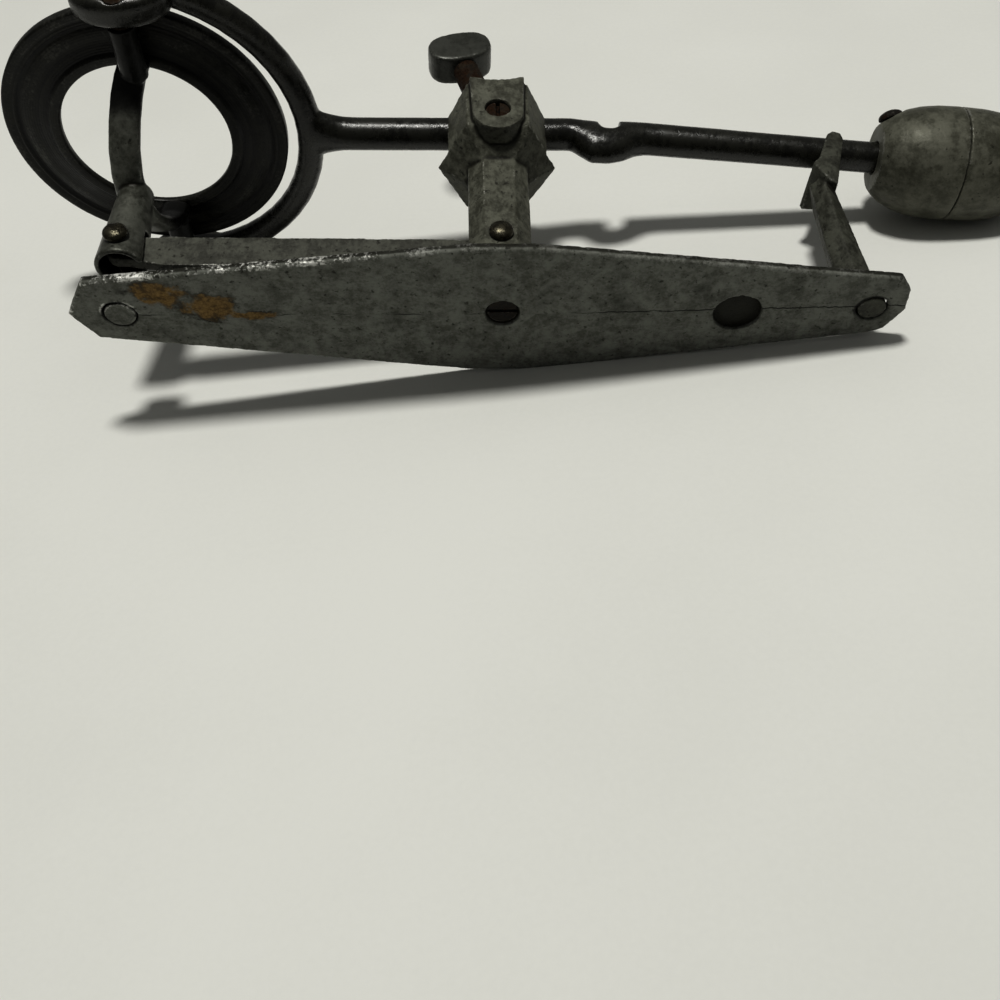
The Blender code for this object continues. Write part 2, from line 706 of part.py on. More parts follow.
def build_pan_bow(cast):
    """Bow under the ring, with its pivot bosses and hollow stem."""
    reach = ring_hole + 1.4 * MM
    drop = ring_seat_z - touch_gap - bow_low_z
    half = [(0.0, 0.0), (0.227, 0.034), (0.480, 0.148), (0.707, 0.330), (0.879, 0.545), (0.975, 0.761), (1.0, 1.0)]
    lean = [-0.7, -0.6, -0.2, 0.5, 1.2, 1.8, 2.2]
    path = [(x * MM, -y * reach, bow_low_z + z * drop) for (y, z), x in zip(reversed(half), reversed(lean))]
    path += [(x * MM, y * reach, bow_low_z + z * drop) for (y, z), x in zip(half[1:], lean[1:])]
    side = [(3.3 * MM, 1.9 * MM)] * len(path)
    bow = add_object("pan_bow", sweep(path, side, (1.0, 0.0, 0.0), 20, 2.6), cast, smooth=False)
    bow.location = (pan_x, 0.0, 0.0)

    stem = lathe(
        [
            (0.0, stem_low_z),
            (5.0 * MM, stem_low_z),
            (5.3 * MM, stem_low_z + 0.4 * MM),
            (3.65 * MM, stem_top_z - 0.6 * MM),
            (3.3 * MM, stem_top_z),
            (2.4 * MM, stem_top_z + 1.0 * MM),
            (0.0, stem_top_z + 1.0 * MM),
        ],
        36,
    )
    stem_x = pan_x + 0.4 * MM
    join(bow, add_tool("join_stem", stem, (stem_x, 0.0, 0.0)))
    boss_low = reach - 0.3 * MM
    boss_high = lug_inner - 0.6 * MM
    for name, sign, turn in (("near", -1.0, TO_NEAR), ("far", 1.0, TO_FAR)):
        boss = rod(boss_radius, 0.0, boss_high - boss_low)
        spot = (pan_pivot_x, sign * boss_low, pan_pivot_z)
        join(bow, add_tool("join_boss_" + name, boss, spot, turn))
        dimple = [
            (0.0, boss_high - 2.5 * MM),
            (boss_radius - 0.2 * MM, boss_high + 0.2 * MM),
            (boss_radius - 0.2 * MM, boss_high + 1.7 * MM),
            (0.0, boss_high + 1.7 * MM),
        ]
        cut(bow, add_tool("cut_boss_" + name, lathe(dimple), (pan_pivot_x, 0.0, pan_pivot_z), turn))
        face = rod(3.1 * MM, 5.0 * MM, 9.0 * MM)
        cut(bow, add_tool("cut_pin_seat_" + name, face, (pan_x, 0.0, stem_pin_z), turn))

    low = stem_pin_z - 7.2 * MM
    hollow = [(0.0, low), (4.2 * MM, low), (4.15 * MM, low + 4.0 * MM)]
    hollow += [(3.75 * MM, low + 11.4 * MM), (0.0, low + 13.0 * MM)]
    cut(bow, add_tool("cut_hollow", lathe(hollow, 36), (stem_x, 0.0, 0.0)))
    slot = block((0.0, 9.0 * MM), (-link_slot, link_slot), (low, low + 11.8 * MM))
    cut(bow, add_tool("cut_stem_slot", slot, (pan_x, 0.0, 0.0)))
    hole = rod(stem_pin_r + pin_gap, -9.0 * MM, 9.0 * MM)
    cut(bow, add_tool("cut_stem_pin", hole, (pan_x, 0.0, stem_pin_z), TO_NEAR))


def weight_profile():
    """Return (distance along the axis, radius) points from the flat end to the seam."""
    curve = [(0.0, 0.57), (1.2, 0.67), (3.0, 0.78), (5.5, 0.88), (8.5, 0.95), (12.0, 0.988)]
    return [(s * MM, share * weight_radius) for s, share in curve]


def build_weight(cast, steel):
    """Barrel weight in two halves, bored for the beam, with a set screw."""
    turn = (0.0, math.radians(90.0) + fall_angle, 0.0)
    start = weight_start - bend_x
    place = (post_x + weight_start, 0.0, beam_z - start * bend_slope)
    bore = rod_radius + slide_gap
    seam = 0.12 * MM
    half_length = weight_length / 2
    curve = weight_profile()
    inner = [(bore, 0.0)] + [(r, s) for s, r in curve]
    inner += [(weight_radius, half_length - seam), (bore, half_length - seam)]
    outer = [(r, weight_length - z) for r, z in inner]
    for name, profile in (("weight_inner", inner), ("weight_outer", outer)):
        half = add_object(name, ring_lathe(profile, 48), cast, smooth=False)
        half.location = place
        half.rotation_euler = turn
        if name == "weight_inner":
            inner_half = half

    lean = math.radians(20.0)
    seat = weight_radius - 2.9 * MM
    screw_along = 6.2 * MM
    about = Matrix.Rotation(math.radians(90.0) + fall_angle, 4, "Y")
    around = Matrix.Rotation(math.radians(-52.0 - 90.0), 4, "Z")
    tip = Matrix.Rotation(math.radians(90.0) + lean, 4, "Y")
    matrix = Matrix.Translation(place) @ about @ Matrix.Translation((0.0, 0.0, screw_along)) @ around @ tip
    shaft = 1.5 * MM
    profile = [(0.0, rod_radius + 0.9 * MM), (shaft, rod_radius + 0.9 * MM), (shaft, seat), (2.7 * MM, seat)]
    profile += dome(2.7 * MM, 1.5 * MM, seat + 0.4 * MM)
    screw = add_object("weight_set_screw", lathe(profile, 28), steel, smooth=False)
    screw.matrix_world = matrix
    slot = block((-4.0 * MM, 4.0 * MM), (-0.35 * MM, 0.35 * MM), (seat + 1.0 * MM, seat + 4.0 * MM))
    slot_tool = add_tool("cut_set_slot", slot)
    slot_tool.parent = screw
    cut(screw, slot_tool)
    hole = add_tool("cut_set_hole", rod(shaft + pin_gap, 0.0, 20.0 * MM))
    hole.matrix_world = matrix
    cut(inner_half, hole)
    spot = add_tool("cut_set_seat", rod(3.0 * MM, seat - touch_gap, 20.0 * MM))
    spot.matrix_world = matrix
    cut(inner_half, spot)


def main():
    """Build every piece in order."""
    clear_scene()
    cast = make_material("cast_zinc", (0.20, 0.20, 0.19), 0.9, 0.5)
    beam_cast = make_material("beam_metal", (0.14, 0.14, 0.12), 0.9, 0.42)
    pan_cast = make_material("pan_metal", (0.12, 0.12, 0.10), 0.9, 0.5)
    lead = make_material("weight_metal", (0.26, 0.26, 0.24), 0.85, 0.5)
    steel = make_material("rusty_steel", (0.14, 0.07, 0.04), 0.6, 0.7)
    pin_steel = make_material("pin_steel", (0.22, 0.20, 0.17), 0.9, 0.35)
    knob_cast = make_material("knob_metal", (0.12, 0.12, 0.12), 0.9, 0.4)

    build_base(cast)
    build_post(cast)
    build_foot_screw(steel)
    build_pivot_screws(steel)
    build_pin("link_pin", post_pin_r, post_half + touch_gap, 2.6 * MM, (post_x, 0.0, link_pin_z), pin_steel)
    build_link(cast)
    build_stop_peg(cast)
    build_rest_post(cast)
    build_beam(beam_cast)
    build_stud_and_knob(knob_cast, steel)
    build_pan_screws(steel)
    build_pan_ring(pan_cast)
    build_pan_bow(pan_cast)
    build_pin("stem_pin", stem_pin_r, 5.0 * MM + touch_gap, 2.6 * MM, (pan_x, 0.0, stem_pin_z), pin_steel)
    build_weight(lead, steel)
    bpy.context.view_layer.update()


main()
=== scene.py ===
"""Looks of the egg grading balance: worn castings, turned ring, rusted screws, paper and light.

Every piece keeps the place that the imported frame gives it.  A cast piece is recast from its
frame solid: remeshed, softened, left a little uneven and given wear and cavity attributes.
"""

import logging
import math
from dataclasses import dataclass, field
from enum import Enum

import bmesh
import bpy
import numpy as np
from mathutils import Euler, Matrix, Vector, noise


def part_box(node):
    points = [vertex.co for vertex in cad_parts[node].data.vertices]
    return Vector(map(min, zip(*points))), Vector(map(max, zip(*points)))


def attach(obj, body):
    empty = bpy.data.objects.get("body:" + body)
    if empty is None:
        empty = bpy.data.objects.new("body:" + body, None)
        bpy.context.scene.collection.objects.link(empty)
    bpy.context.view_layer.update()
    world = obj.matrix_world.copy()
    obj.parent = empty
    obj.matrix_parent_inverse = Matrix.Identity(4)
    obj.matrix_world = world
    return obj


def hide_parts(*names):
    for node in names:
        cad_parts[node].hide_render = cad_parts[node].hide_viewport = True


LOG = logging.getLogger("balance")
MM = 0.001

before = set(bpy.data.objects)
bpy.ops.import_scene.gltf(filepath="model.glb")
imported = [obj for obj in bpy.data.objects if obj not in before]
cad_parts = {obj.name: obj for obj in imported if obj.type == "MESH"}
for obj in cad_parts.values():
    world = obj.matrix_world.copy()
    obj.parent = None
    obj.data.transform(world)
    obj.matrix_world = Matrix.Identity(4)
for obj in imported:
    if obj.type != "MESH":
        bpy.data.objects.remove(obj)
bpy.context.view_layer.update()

Tint = tuple[float, float, float]
Socket = bpy.types.NodeSocket

ALONG = (1.0, 0.0, 0.0)         # keeps only the distance along the base
VIEW_GAMMA = 0.86               # deepens the shadows of the whole picture


# ------------------------------------------------------------------ node building
class NodeBench:
    """Short helpers for laying out one shader node tree."""

    def __init__(self, tree: bpy.types.NodeTree) -> None:
        """Keep the tree that the nodes go in.

        Args:
            tree: the material's or the group's node tree.
        """
        self.tree = tree

    def add(self, kind: str, **settings: object) -> bpy.types.Node:
        """Add one node and set its plain properties.

        Args:
            kind: the node's type name.
            settings: properties to set on it.

        Returns:
            The new node.
        """
        node = self.tree.nodes.new(kind)
        for name, value in settings.items():
            setattr(node, name, value)
        return node

    def put(self, socket: Socket, value: object) -> None:
        """Link a socket to an input, or set the input's own value."""
        if isinstance(value, Socket):
            self.tree.links.new(value, socket)
        else:
            socket.default_value = value

    def maths(self, operation: str, a: object, b: object = 0.0, clamp: bool = False) -> Socket:
        """Return the result of one Math node."""
        node = self.add("ShaderNodeMath", operation=operation, use_clamp=clamp)
        self.put(node.inputs[0], a)
        self.put(node.inputs[1], b)
        return node.outputs[0]

    def plus(self, a: object, b: object, clamp: bool = False) -> Socket:
        """Return a sum."""
        return self.maths("ADD", a, b, clamp)

    def minus(self, a: object, b: object, clamp: bool = False) -> Socket:
        """Return a difference."""
        return self.maths("SUBTRACT", a, b, clamp)

    def times(self, a: object, b: object, clamp: bool = False) -> Socket:
        """Return a product."""
        return self.maths("MULTIPLY", a, b, clamp)

    def distance(self, dx: object, dy: object) -> Socket:
        """Return the length of a flat offset."""
        return self.maths("SQRT", self.plus(self.maths("POWER", dx, 2.0), self.maths("POWER", dy, 2.0)))

    def split(self, vector: object) -> tuple[Socket, Socket, Socket]:
        """Return the three parts of a vector."""
        node = self.add("ShaderNodeSeparateXYZ")
        self.put(node.inputs[0], vector)
        return tuple(node.outputs)

    def attribute(self, name: str) -> Socket:
        """Return a number stored on the mesh."""
        return self.add("ShaderNodeAttribute", attribute_name=name).outputs["Fac"]

    def spread(
        self, value: object, low: float, high: float, to_low: float = 0.0, to_high: float = 1.0
    ) -> Socket:
        """Return a smooth clamped map of a value from one range to another."""
        node = self.add("ShaderNodeMapRange", interpolation_type="SMOOTHSTEP", clamp=True)
        for index, item in enumerate((value, low, high, to_low, to_high)):
            self.put(node.inputs[index], item)
        return node.outputs[0]

    def blend(self, factor: object, a: object, b: object) -> Socket:
        """Return the colour between two colours, each a socket or a tint."""
        node = self.add("ShaderNodeMix", data_type="RGBA", blend_type="MIX", clamp_factor=True)
        self.put(node.inputs[0], factor)
        for index, colour in ((6, a), (7, b)):
            self.put(node.inputs[index], (*colour, 1.0) if isinstance(colour, tuple) else colour)
        return node.outputs[2]

    def clouds(self, vector: object, scale: object, detail: float = 4.0, rough: float = 0.55) -> Socket:
        """Return a grey noise pattern."""
        node = self.add("ShaderNodeTexNoise", noise_dimensions="3D")
        self.put(node.inputs["Vector"], vector)
        self.put(node.inputs["Scale"], scale)
        self.put(node.inputs["Detail"], detail)
        self.put(node.inputs["Roughness"], rough)
        return node.outputs["Fac"]

    def stretch(self, vector: object, scale: tuple[float, float, float]) -> Socket:
        """Return a vector scaled along each axis."""
        node = self.add("ShaderNodeMapping", vector_type="POINT")
        self.put(node.inputs["Vector"], vector)
        node.inputs["Scale"].default_value = scale
        return node.outputs["Vector"]


def new_group(name: str, inputs: dict[str, str], outputs: dict[str, str]) -> tuple:
    """Start a shader node group with named sockets.

    Args:
        name: the group's name.
        inputs: socket names and types.
        outputs: socket names and types.

    Returns:
        The group, its bench, its input node and its output node.
    """
    group = bpy.data.node_groups.new(name, "ShaderNodeTree")
    for label, kind in inputs.items():
        group.interface.new_socket(label, in_out="INPUT", socket_type=kind)
    for label, kind in outputs.items():
        group.interface.new_socket(label, in_out="OUTPUT", socket_type=kind)
    bench = NodeBench(group)
    return group, bench, bench.add("NodeGroupInput"), bench.add("NodeGroupOutput")


NUMBER = "NodeSocketFloat"
COLOUR = "NodeSocketColor"
VECTOR = "NodeSocketVector"


class SurfaceGroups:
    """The node groups that several finishes share."""

    def __init__(self) -> None:
        """Build each group once."""
        self.skin = self.cast_skin()
        self.wear = self.edge_wear()
        self.rust = self.rust_bloom()

    def cast_skin(self) -> bpy.types.NodeTree:
        """Build the mottle, grain and pits of a sand casting.

        Returns:
            A group with Blotch, Grain, Pits and Height outputs.
        """
        group, bench, given, result = new_group(
            "cast_skin",
            {"Vector": VECTOR, "Blotch Scale": NUMBER, "Grain Scale": NUMBER, "Pit Share": NUMBER},
            {"Blotch": NUMBER, "Grain": NUMBER, "Pits": NUMBER, "Height": NUMBER},
        )
        place = given.outputs["Vector"]
        broad = bench.clouds(place, given.outputs["Blotch Scale"], 8.0, 0.66)
        middle_scale = bench.times(given.outputs["Blotch Scale"], 3.7)
        middle = bench.clouds(bench.stretch(place, (1.0, 1.0, 0.75)), middle_scale, 7.0, 0.68)
        both = bench.plus(bench.times(broad, 0.55), bench.times(middle, 0.45))
        blotch = bench.spread(both, 0.415, 0.585)
        grain = bench.clouds(place, given.outputs["Grain Scale"], 5.0, 0.65)
        pit_noise = bench.clouds(place, bench.times(given.outputs["Grain Scale"], 0.55), 3.0, 0.5)
        pits = bench.spread(bench.minus(pit_noise, bench.minus(0.74, given.outputs["Pit Share"])), 0.0, 0.10)
        height = bench.plus(bench.minus(bench.times(grain, 0.8), pits), bench.times(blotch, 0.5))
        bench.put(result.inputs["Blotch"], blotch)
        bench.put(result.inputs["Grain"], grain)
        bench.put(result.inputs["Pits"], pits)
        bench.put(result.inputs["Height"], height)
        return group

    def edge_wear(self) -> bpy.types.NodeTree:
        """Build the masks of rubbed edges and of grime with painted shade in the corners.

        Returns:
            A group with the Bright output and an output of grime with painted shade.
        """
        group, bench, given, result = new_group(
            "edge_wear",
            {"Vector": VECTOR, "Wear": NUMBER, "Cavity": NUMBER, "Amount": NUMBER, "Dirt And Shade": NUMBER},
            {"Bright": NUMBER, "Grime And Shade": NUMBER},
        )
        broken = bench.clouds(given.outputs["Vector"], 1500.0, 4.0, 0.7)
        patchy = bench.clouds(given.outputs["Vector"], 110.0, 3.0, 0.6)
        ragged = bench.spread(bench.plus(broken, patchy), 0.84, 1.24)
        rubbed = bench.times(given.outputs["Wear"], given.outputs["Amount"])
        bright = bench.spread(bench.times(rubbed, ragged), 0.22, 0.95)
        hidden = bench.times(given.outputs["Cavity"], given.outputs["Dirt And Shade"], True)
        bench.put(result.inputs["Bright"], bright)
        bench.put(result.inputs["Grime And Shade"], hidden)
        return group

    def rust_bloom(self) -> bpy.types.NodeTree:
        """Build the colour and the spread of brown rust.

        Returns:
            A group with Colour and Mask outputs.
        """
        group, bench, given, result = new_group(
            "rust_bloom",
            {"Vector": VECTOR, "Scale": NUMBER, "Amount": NUMBER},
            {"Colour": COLOUR, "Mask": NUMBER},
        )
        spread_noise = bench.clouds(given.outputs["Vector"], given.outputs["Scale"], 6.0, 0.65)
        edge = bench.times(bench.minus(1.0, given.outputs["Amount"]), 0.72)
        mask = bench.spread(bench.minus(spread_noise, edge), 0.0, 0.16)
        fine_scale = bench.times(given.outputs["Scale"], 5.0)
        tone = bench.spread(bench.clouds(given.outputs["Vector"], fine_scale, 5.0, 0.7), 0.3, 0.7)
        brown = bench.blend(tone, (0.007, 0.004, 0.002), (0.036, 0.018, 0.009))
        bench.put(result.inputs["Colour"], brown)
        bench.put(result.inputs["Mask"], mask)
        return group


# ------------------------------------------------------------------ finishes
@dataclass
class Surface:
    """The sockets of a finish while its layers are laid."""

    colour: Socket
    rough: Socket
    height: Socket
    bright: Socket


@dataclass(frozen=True)
class MetalFinish:
    """Colours and surface of one aged metal.

    The four tints are grime with painted shade in hollows and recesses, dark skin, pale skin and rubbed bare
    metal.
    """

    name: str
    grime_and_shade: Tint
    plain: Tint
    pale: Tint
    bare: Tint
    metallic: float = 0.10
    specular: float = 0.18
    rough_low: float = 0.50
    rough_high: float = 0.72
    blotch_scale: float = 150.0
    grain_scale: float = 1500.0
    pit_share: float = 0.10
    wear: float = 1.0
    dirt_and_shade: float = 1.0
    rust: float = 0.0
    rust_scale: float = 420.0
    bump: float = 0.22
    bump_depth: float = 0.22 * MM

    def material(self, groups: SurfaceGroups) -> bpy.types.Material:
        """Build the material.

        Args:
            groups: the shared node groups.

        Returns:
            A Principled material that reads Object coordinates and the wear attributes.
        """
        material = bpy.data.materials.new(self.name)
        material.use_nodes = True
        bench = NodeBench(material.node_tree)
        shader = material.node_tree.nodes["Principled BSDF"]
        place = bench.add("ShaderNodeTexCoord").outputs["Object"]
        skin = bench.add("ShaderNodeGroup", node_tree=groups.skin)
        bench.put(skin.inputs["Vector"], place)
        bench.put(skin.inputs["Blotch Scale"], self.blotch_scale)
        bench.put(skin.inputs["Grain Scale"], self.grain_scale)
        bench.put(skin.inputs["Pit Share"], self.pit_share)
        edges = bench.add("ShaderNodeGroup", node_tree=groups.wear)
        bench.put(edges.inputs["Vector"], place)
        bench.put(edges.inputs["Wear"], bench.attribute("wear"))
        bench.put(edges.inputs["Cavity"], bench.attribute("cavity"))
        bench.put(edges.inputs["Amount"], self.wear)
        bench.put(edges.inputs["Dirt And Shade"], self.dirt_and_shade)

        speck = bench.spread(skin.outputs["Grain"], 0.35, 0.68)
        tone = bench.plus(bench.times(skin.outputs["Blotch"], 0.75), bench.times(speck, 0.25))
        colour = bench.blend(tone, self.plain, self.pale)
        colour = bench.blend(bench.times(skin.outputs["Pits"], 0.75), colour, self.grime_and_shade)
        # grime with painted shade in the hollows, from the cavity attribute
        colour = bench.blend(edges.outputs["Grime And Shade"], colour, self.grime_and_shade)
        rough = bench.spread(tone, 0.0, 1.0, self.rough_low, self.rough_high)
        surface = Surface(colour, rough, skin.outputs["Height"], edges.outputs["Bright"])
        self.marks(bench, place, surface)
        if self.rust > 0.0:
            bloom = bench.add("ShaderNodeGroup", node_tree=groups.rust)
            bench.put(bloom.inputs["Vector"], place)
            bench.put(bloom.inputs["Scale"], self.rust_scale)
            bench.put(bloom.inputs["Amount"], self.rust)
            mask = bloom.outputs["Mask"]
            surface.colour = bench.blend(mask, surface.colour, bloom.outputs["Colour"])
            surface.rough = bench.plus(surface.rough, bench.times(mask, 0.25), True)
        bench.put(shader.inputs["Base Color"], bench.blend(surface.bright, surface.colour, self.bare))
        rough = bench.minus(surface.rough, bench.times(surface.bright, 0.22), True)
        bench.put(shader.inputs["Roughness"], rough)
        metal = bench.plus(self.metallic, bench.times(surface.bright, 0.4), True)
        bench.put(shader.inputs["Metallic"], metal)
        shader.inputs["Specular IOR Level"].default_value = self.specular
        bump = bench.add("ShaderNodeBump")
        bump.inputs["Strength"].default_value = self.bump
        bump.inputs["Distance"].default_value = self.bump_depth
        bench.put(bump.inputs["Height"], surface.height)
        bench.put(shader.inputs["Normal"], bump.outputs["Normal"])
        return material

    def marks(self, bench: NodeBench, place: Socket, surface: Surface) -> None:
        """Add marks of this finish alone; a plain finish has none.

        Args:
            bench: the material's bench.
            place: the Object coordinates.
            surface: the layers so far, changed in place.
        """


@dataclass(frozen=True)
class BasePlateFinish(MetalFinish):
    """The underside of the base: veins, a tan stain, a cold shut, one rubbed edge, and painted shade round
    two rivets and in the recesses.

    Places along the base are measured from middle_x, the axis of the post.
    """

    middle_x: float = 0.0
    tan: Tint = (0.250, 0.160, 0.060)
    umber: Tint = (0.052, 0.036, 0.018)
    outline: Tint = (0.012, 0.011, 0.008)
    cleft: Tint = (0.004, 0.004, 0.003)
    gap_shade: Tint = (0.010, 0.010, 0.008)

    def marks(self, bench: NodeBench, place: Socket, surface: Surface) -> None:
        """Lay the base's own marks, from the widest to the smallest."""
        x, y, z = bench.split(place)
        under = bench.spread(z, 0.35 * MM, 0.7 * MM, 1.0, 0.0)
        self.mottle(bench, place, under, surface)
        self.stain(bench, place, under, surface)
        self.crack(bench, place, under, surface)
        self.rivet_gaps(bench, x, y, surface)
        # painted shade over a dark patina: the recess floors, and all else above the underside, go darker
        recess = bench.times(bench.spread(z, 0.55 * MM, 1.05 * MM), 0.88)
        surface.colour = bench.blend(recess, surface.colour, self.grime_and_shade)
        self.rubbed_edge(bench, x, y, surface)

    def mottle(self, bench: NodeBench, place: Socket, under: Socket, surface: Surface) -> None:
        """Add pale veins and dark clouds."""
        veins = bench.maths("ABSOLUTE", bench.minus(bench.clouds(place, 120.0, 8.0, 0.66), 0.5))
        pale = bench.times(bench.spread(veins, 0.0, 0.035, 0.38, 0.0), under)
        surface.colour = bench.blend(pale, surface.colour, self.pale)
        clouds = bench.spread(bench.clouds(place, 85.0, 7.0, 0.68), 0.50, 0.70)
        surface.colour = bench.blend(bench.times(clouds, 0.50), surface.colour, self.grime_and_shade)

    def stain(self, bench: NodeBench, place: Socket, under: Socket, surface: Surface) -> None:
        """Add the tan stain, three torn lobes with a broken dark outline."""
        x, y, _ = bench.split(place)
        torn = bench.times(bench.minus(bench.clouds(place, 300.0, 7.0, 0.66), 0.5), 2.3)
        lobes = (
            (-67.2, -5.6, 5.2, 2.9),
            (-57.6, -2.2, 5.4, 3.2),
            (-50.0, 0.4, 4.6, 1.1),
        )
        nearest = None
        for lobe_x, lobe_y, half_x, half_y in lobes:
            dx = bench.maths("DIVIDE", bench.minus(x, self.middle_x + lobe_x * MM), half_x * MM)
            dy = bench.maths("DIVIDE", bench.minus(y, lobe_y * MM), half_y * MM)
            reach = bench.distance(dx, dy)
            nearest = reach if nearest is None else bench.maths("MINIMUM", nearest, reach)
        reach = bench.plus(nearest, torn)
        stain = bench.times(bench.spread(reach, 0.72, 1.12, 1.0, 0.0), under)
        sand = bench.spread(bench.clouds(place, 1500.0, 4.0, 0.7), 0.3, 0.7)
        tan = bench.blend(sand, tuple(0.45 * value for value in self.tan), self.tan)
        umber = bench.spread(bench.clouds(place, 480.0, 6.0, 0.7), 0.44, 0.62)
        tan = bench.blend(bench.times(umber, 0.75), tan, self.umber)
        broken = bench.spread(bench.clouds(place, 210.0, 3.0, 0.6), 0.40, 0.60, 0.15, 0.95)
        rim = bench.times(bench.spread(reach, 1.00, 1.40, 1.0, 0.0), under)
        surface.colour = bench.blend(bench.times(rim, broken), surface.colour, self.outline)
        surface.colour = bench.blend(stain, surface.colour, tan)
        surface.rough = bench.plus(surface.rough, bench.times(stain, 0.25), True)

    def crack(self, bench: NodeBench, place: Socket, under: Socket, surface: Surface) -> None:
        """Add the cold shut, a thin wandering line that is strongest to the right."""
        x, y, _ = bench.split(place)
        along = bench.stretch(place, ALONG)
        wander = bench.times(bench.minus(bench.clouds(along, 240.0, 6.0, 0.6), 0.5), 2.0 * MM)
        drift = bench.times(bench.maths("MAXIMUM", x, 0.0), 0.030)
        line = bench.plus(bench.plus(y, drift), wander)
        nearness = bench.spread(bench.maths("ABSOLUTE", line), 0.03 * MM, 0.24 * MM, 1.0, 0.0)
        rightward = bench.spread(x, self.middle_x + 4.0 * MM, self.middle_x + 52.0 * MM, 0.0, 0.30)
        strength = bench.spread(bench.plus(bench.clouds(along, 95.0, 3.0, 0.5), rightward), 0.44, 0.68)
        crack = bench.times(bench.times(nearness, strength), under)
        surface.colour = bench.blend(bench.times(crack, 0.95), surface.colour, self.cleft)
        surface.height = bench.minus(surface.height, bench.times(crack, 2.5))

    def rivet_gaps(self, bench: NodeBench, x: Socket, y: Socket, surface: Surface) -> None:
        """Paint shade into the gap round the stop peg's rivet and the rest post's rivet, stronger on one
        side.
        """
        for rivet_x, rivet_y in ((-75.6, 0.0), (74.5, -1.2)):
            dx = bench.minus(x, self.middle_x + rivet_x * MM)
            dy = bench.minus(y, rivet_y * MM)
            gap = bench.maths("ABSOLUTE", bench.minus(bench.distance(dx, dy), 3.3 * MM))
            shaded = bench.spread(bench.plus(dx, dy), -4.0 * MM, 2.5 * MM, 1.0, 0.30)
            ring = bench.times(bench.spread(gap, 0.15 * MM, 0.65 * MM, 1.0, 0.0), shaded)
            surface.colour = bench.blend(ring, surface.colour, self.gap_shade)
            surface.bright = bench.times(surface.bright, bench.minus(1.0, ring))

    def rubbed_edge(self, bench: NodeBench, x: Socket, y: Socket, surface: Surface) -> None:
        """Keep bright wear only along the -Y edge, fading from the left tip to the post."""
        outward = bench.maths("ABSOLUTE", bench.minus(x, self.middle_x))
        near = bench.spread(bench.plus(y, bench.times(outward, -0.11)), -10.5 * MM, -7.5 * MM, 1.0, 0.0)
        left = bench.spread(x, self.middle_x - 60.0 * MM, self.middle_x + 6.0 * MM, 1.0, 0.12)
        kept = bench.maths("MAXIMUM", bench.times(near, left), 0.05)
        surface.bright = bench.times(surface.bright, kept)


@dataclass(frozen=True)
class TurnedFinish(MetalFinish):
    """Metal with fine rings left by the lathe about an upright axis."""

    centre: tuple[float, float] = (0.0, 0.0)
    ring_pitch: float = 0.55 * MM

    def marks(self, bench: NodeBench, place: Socket, surface: Surface) -> None:
        """Add the tool rings to the height, and a slight change of tone."""
        x, y, _ = bench.split(place)
        reach = bench.distance(bench.minus(x, self.centre[0]), bench.minus(y, self.centre[1]))
        wave = bench.maths("SINE", bench.times(reach, math.tau / self.ring_pitch))
        tone = bench.times(bench.spread(wave, 0.2, 1.0), 0.18)
        surface.colour = bench.blend(tone, surface.colour, self.grime_and_shade)
        surface.height = bench.plus(surface.height, bench.times(wave, 0.20))


@dataclass(frozen=True)
class BowFinish(MetalFinish):
    """Rubbed metal that turns dark near the pivot bosses, with painted shade inside the stem."""

    dark_above: float = 1.0
    stem_x: float = 0.0
    hollow_top: float = 0.0
    shade: Tint = (0.0018, 0.0018, 0.0014)

    def marks(self, bench: NodeBench, place: Socket, surface: Surface) -> None:
        """Darken the upper part of the arms and the bosses, and paint shade inside the stem."""
        x, y, z = bench.split(place)
        drift = bench.times(bench.minus(bench.clouds(place, 150.0, 3.0, 0.5), 0.5), 5.0 * MM)
        level = bench.plus(z, drift)
        dark = bench.spread(level, self.dark_above - 3.0 * MM, self.dark_above + 1.0 * MM)
        surface.colour = bench.blend(bench.times(dark, 0.96), surface.colour, self.shade)
        # painted shade inside the hollow of the stem
        reach = bench.distance(bench.minus(x, self.stem_x), y)
        within = bench.spread(reach, 4.0 * MM, 4.6 * MM, 0.95, 0.0)
        below = bench.spread(z, self.hollow_top, self.hollow_top + 1.0 * MM, 1.0, 0.0)
        surface.colour = bench.blend(bench.times(within, below), surface.colour, self.shade)
        surface.bright = bench.times(surface.bright, bench.minus(1.0, dark))


# ------------------------------------------------------------------ casting from the frame
@dataclass(frozen=True)
class Casting:
    """How a frame solid is recast.

    Voxel and depth are in metres; chips is how deep an edge is nibbled.
    """

    voxel: float
    smoothing: int = 3
    unevenness: float = 0.05 * MM
    pitch: float = 4.0 * MM
    chips: float = 0.0


def neighbour_mean(values: np.ndarray, edges: np.ndarray, counts: np.ndarray) -> np.ndarray:
    """Return the mean of each vertex's neighbours.

    Args:
        values: one row for each vertex.
        edges: vertex pairs.
        counts: the number of neighbours of each vertex.

    Returns:
        An array like values.
    """
    total = np.zeros_like(values)
    np.add.at(total, edges[:, 0], values[edges[:, 1]])
    np.add.at(total, edges[:, 1], values[edges[:, 0]])
    return total / counts[:, None]


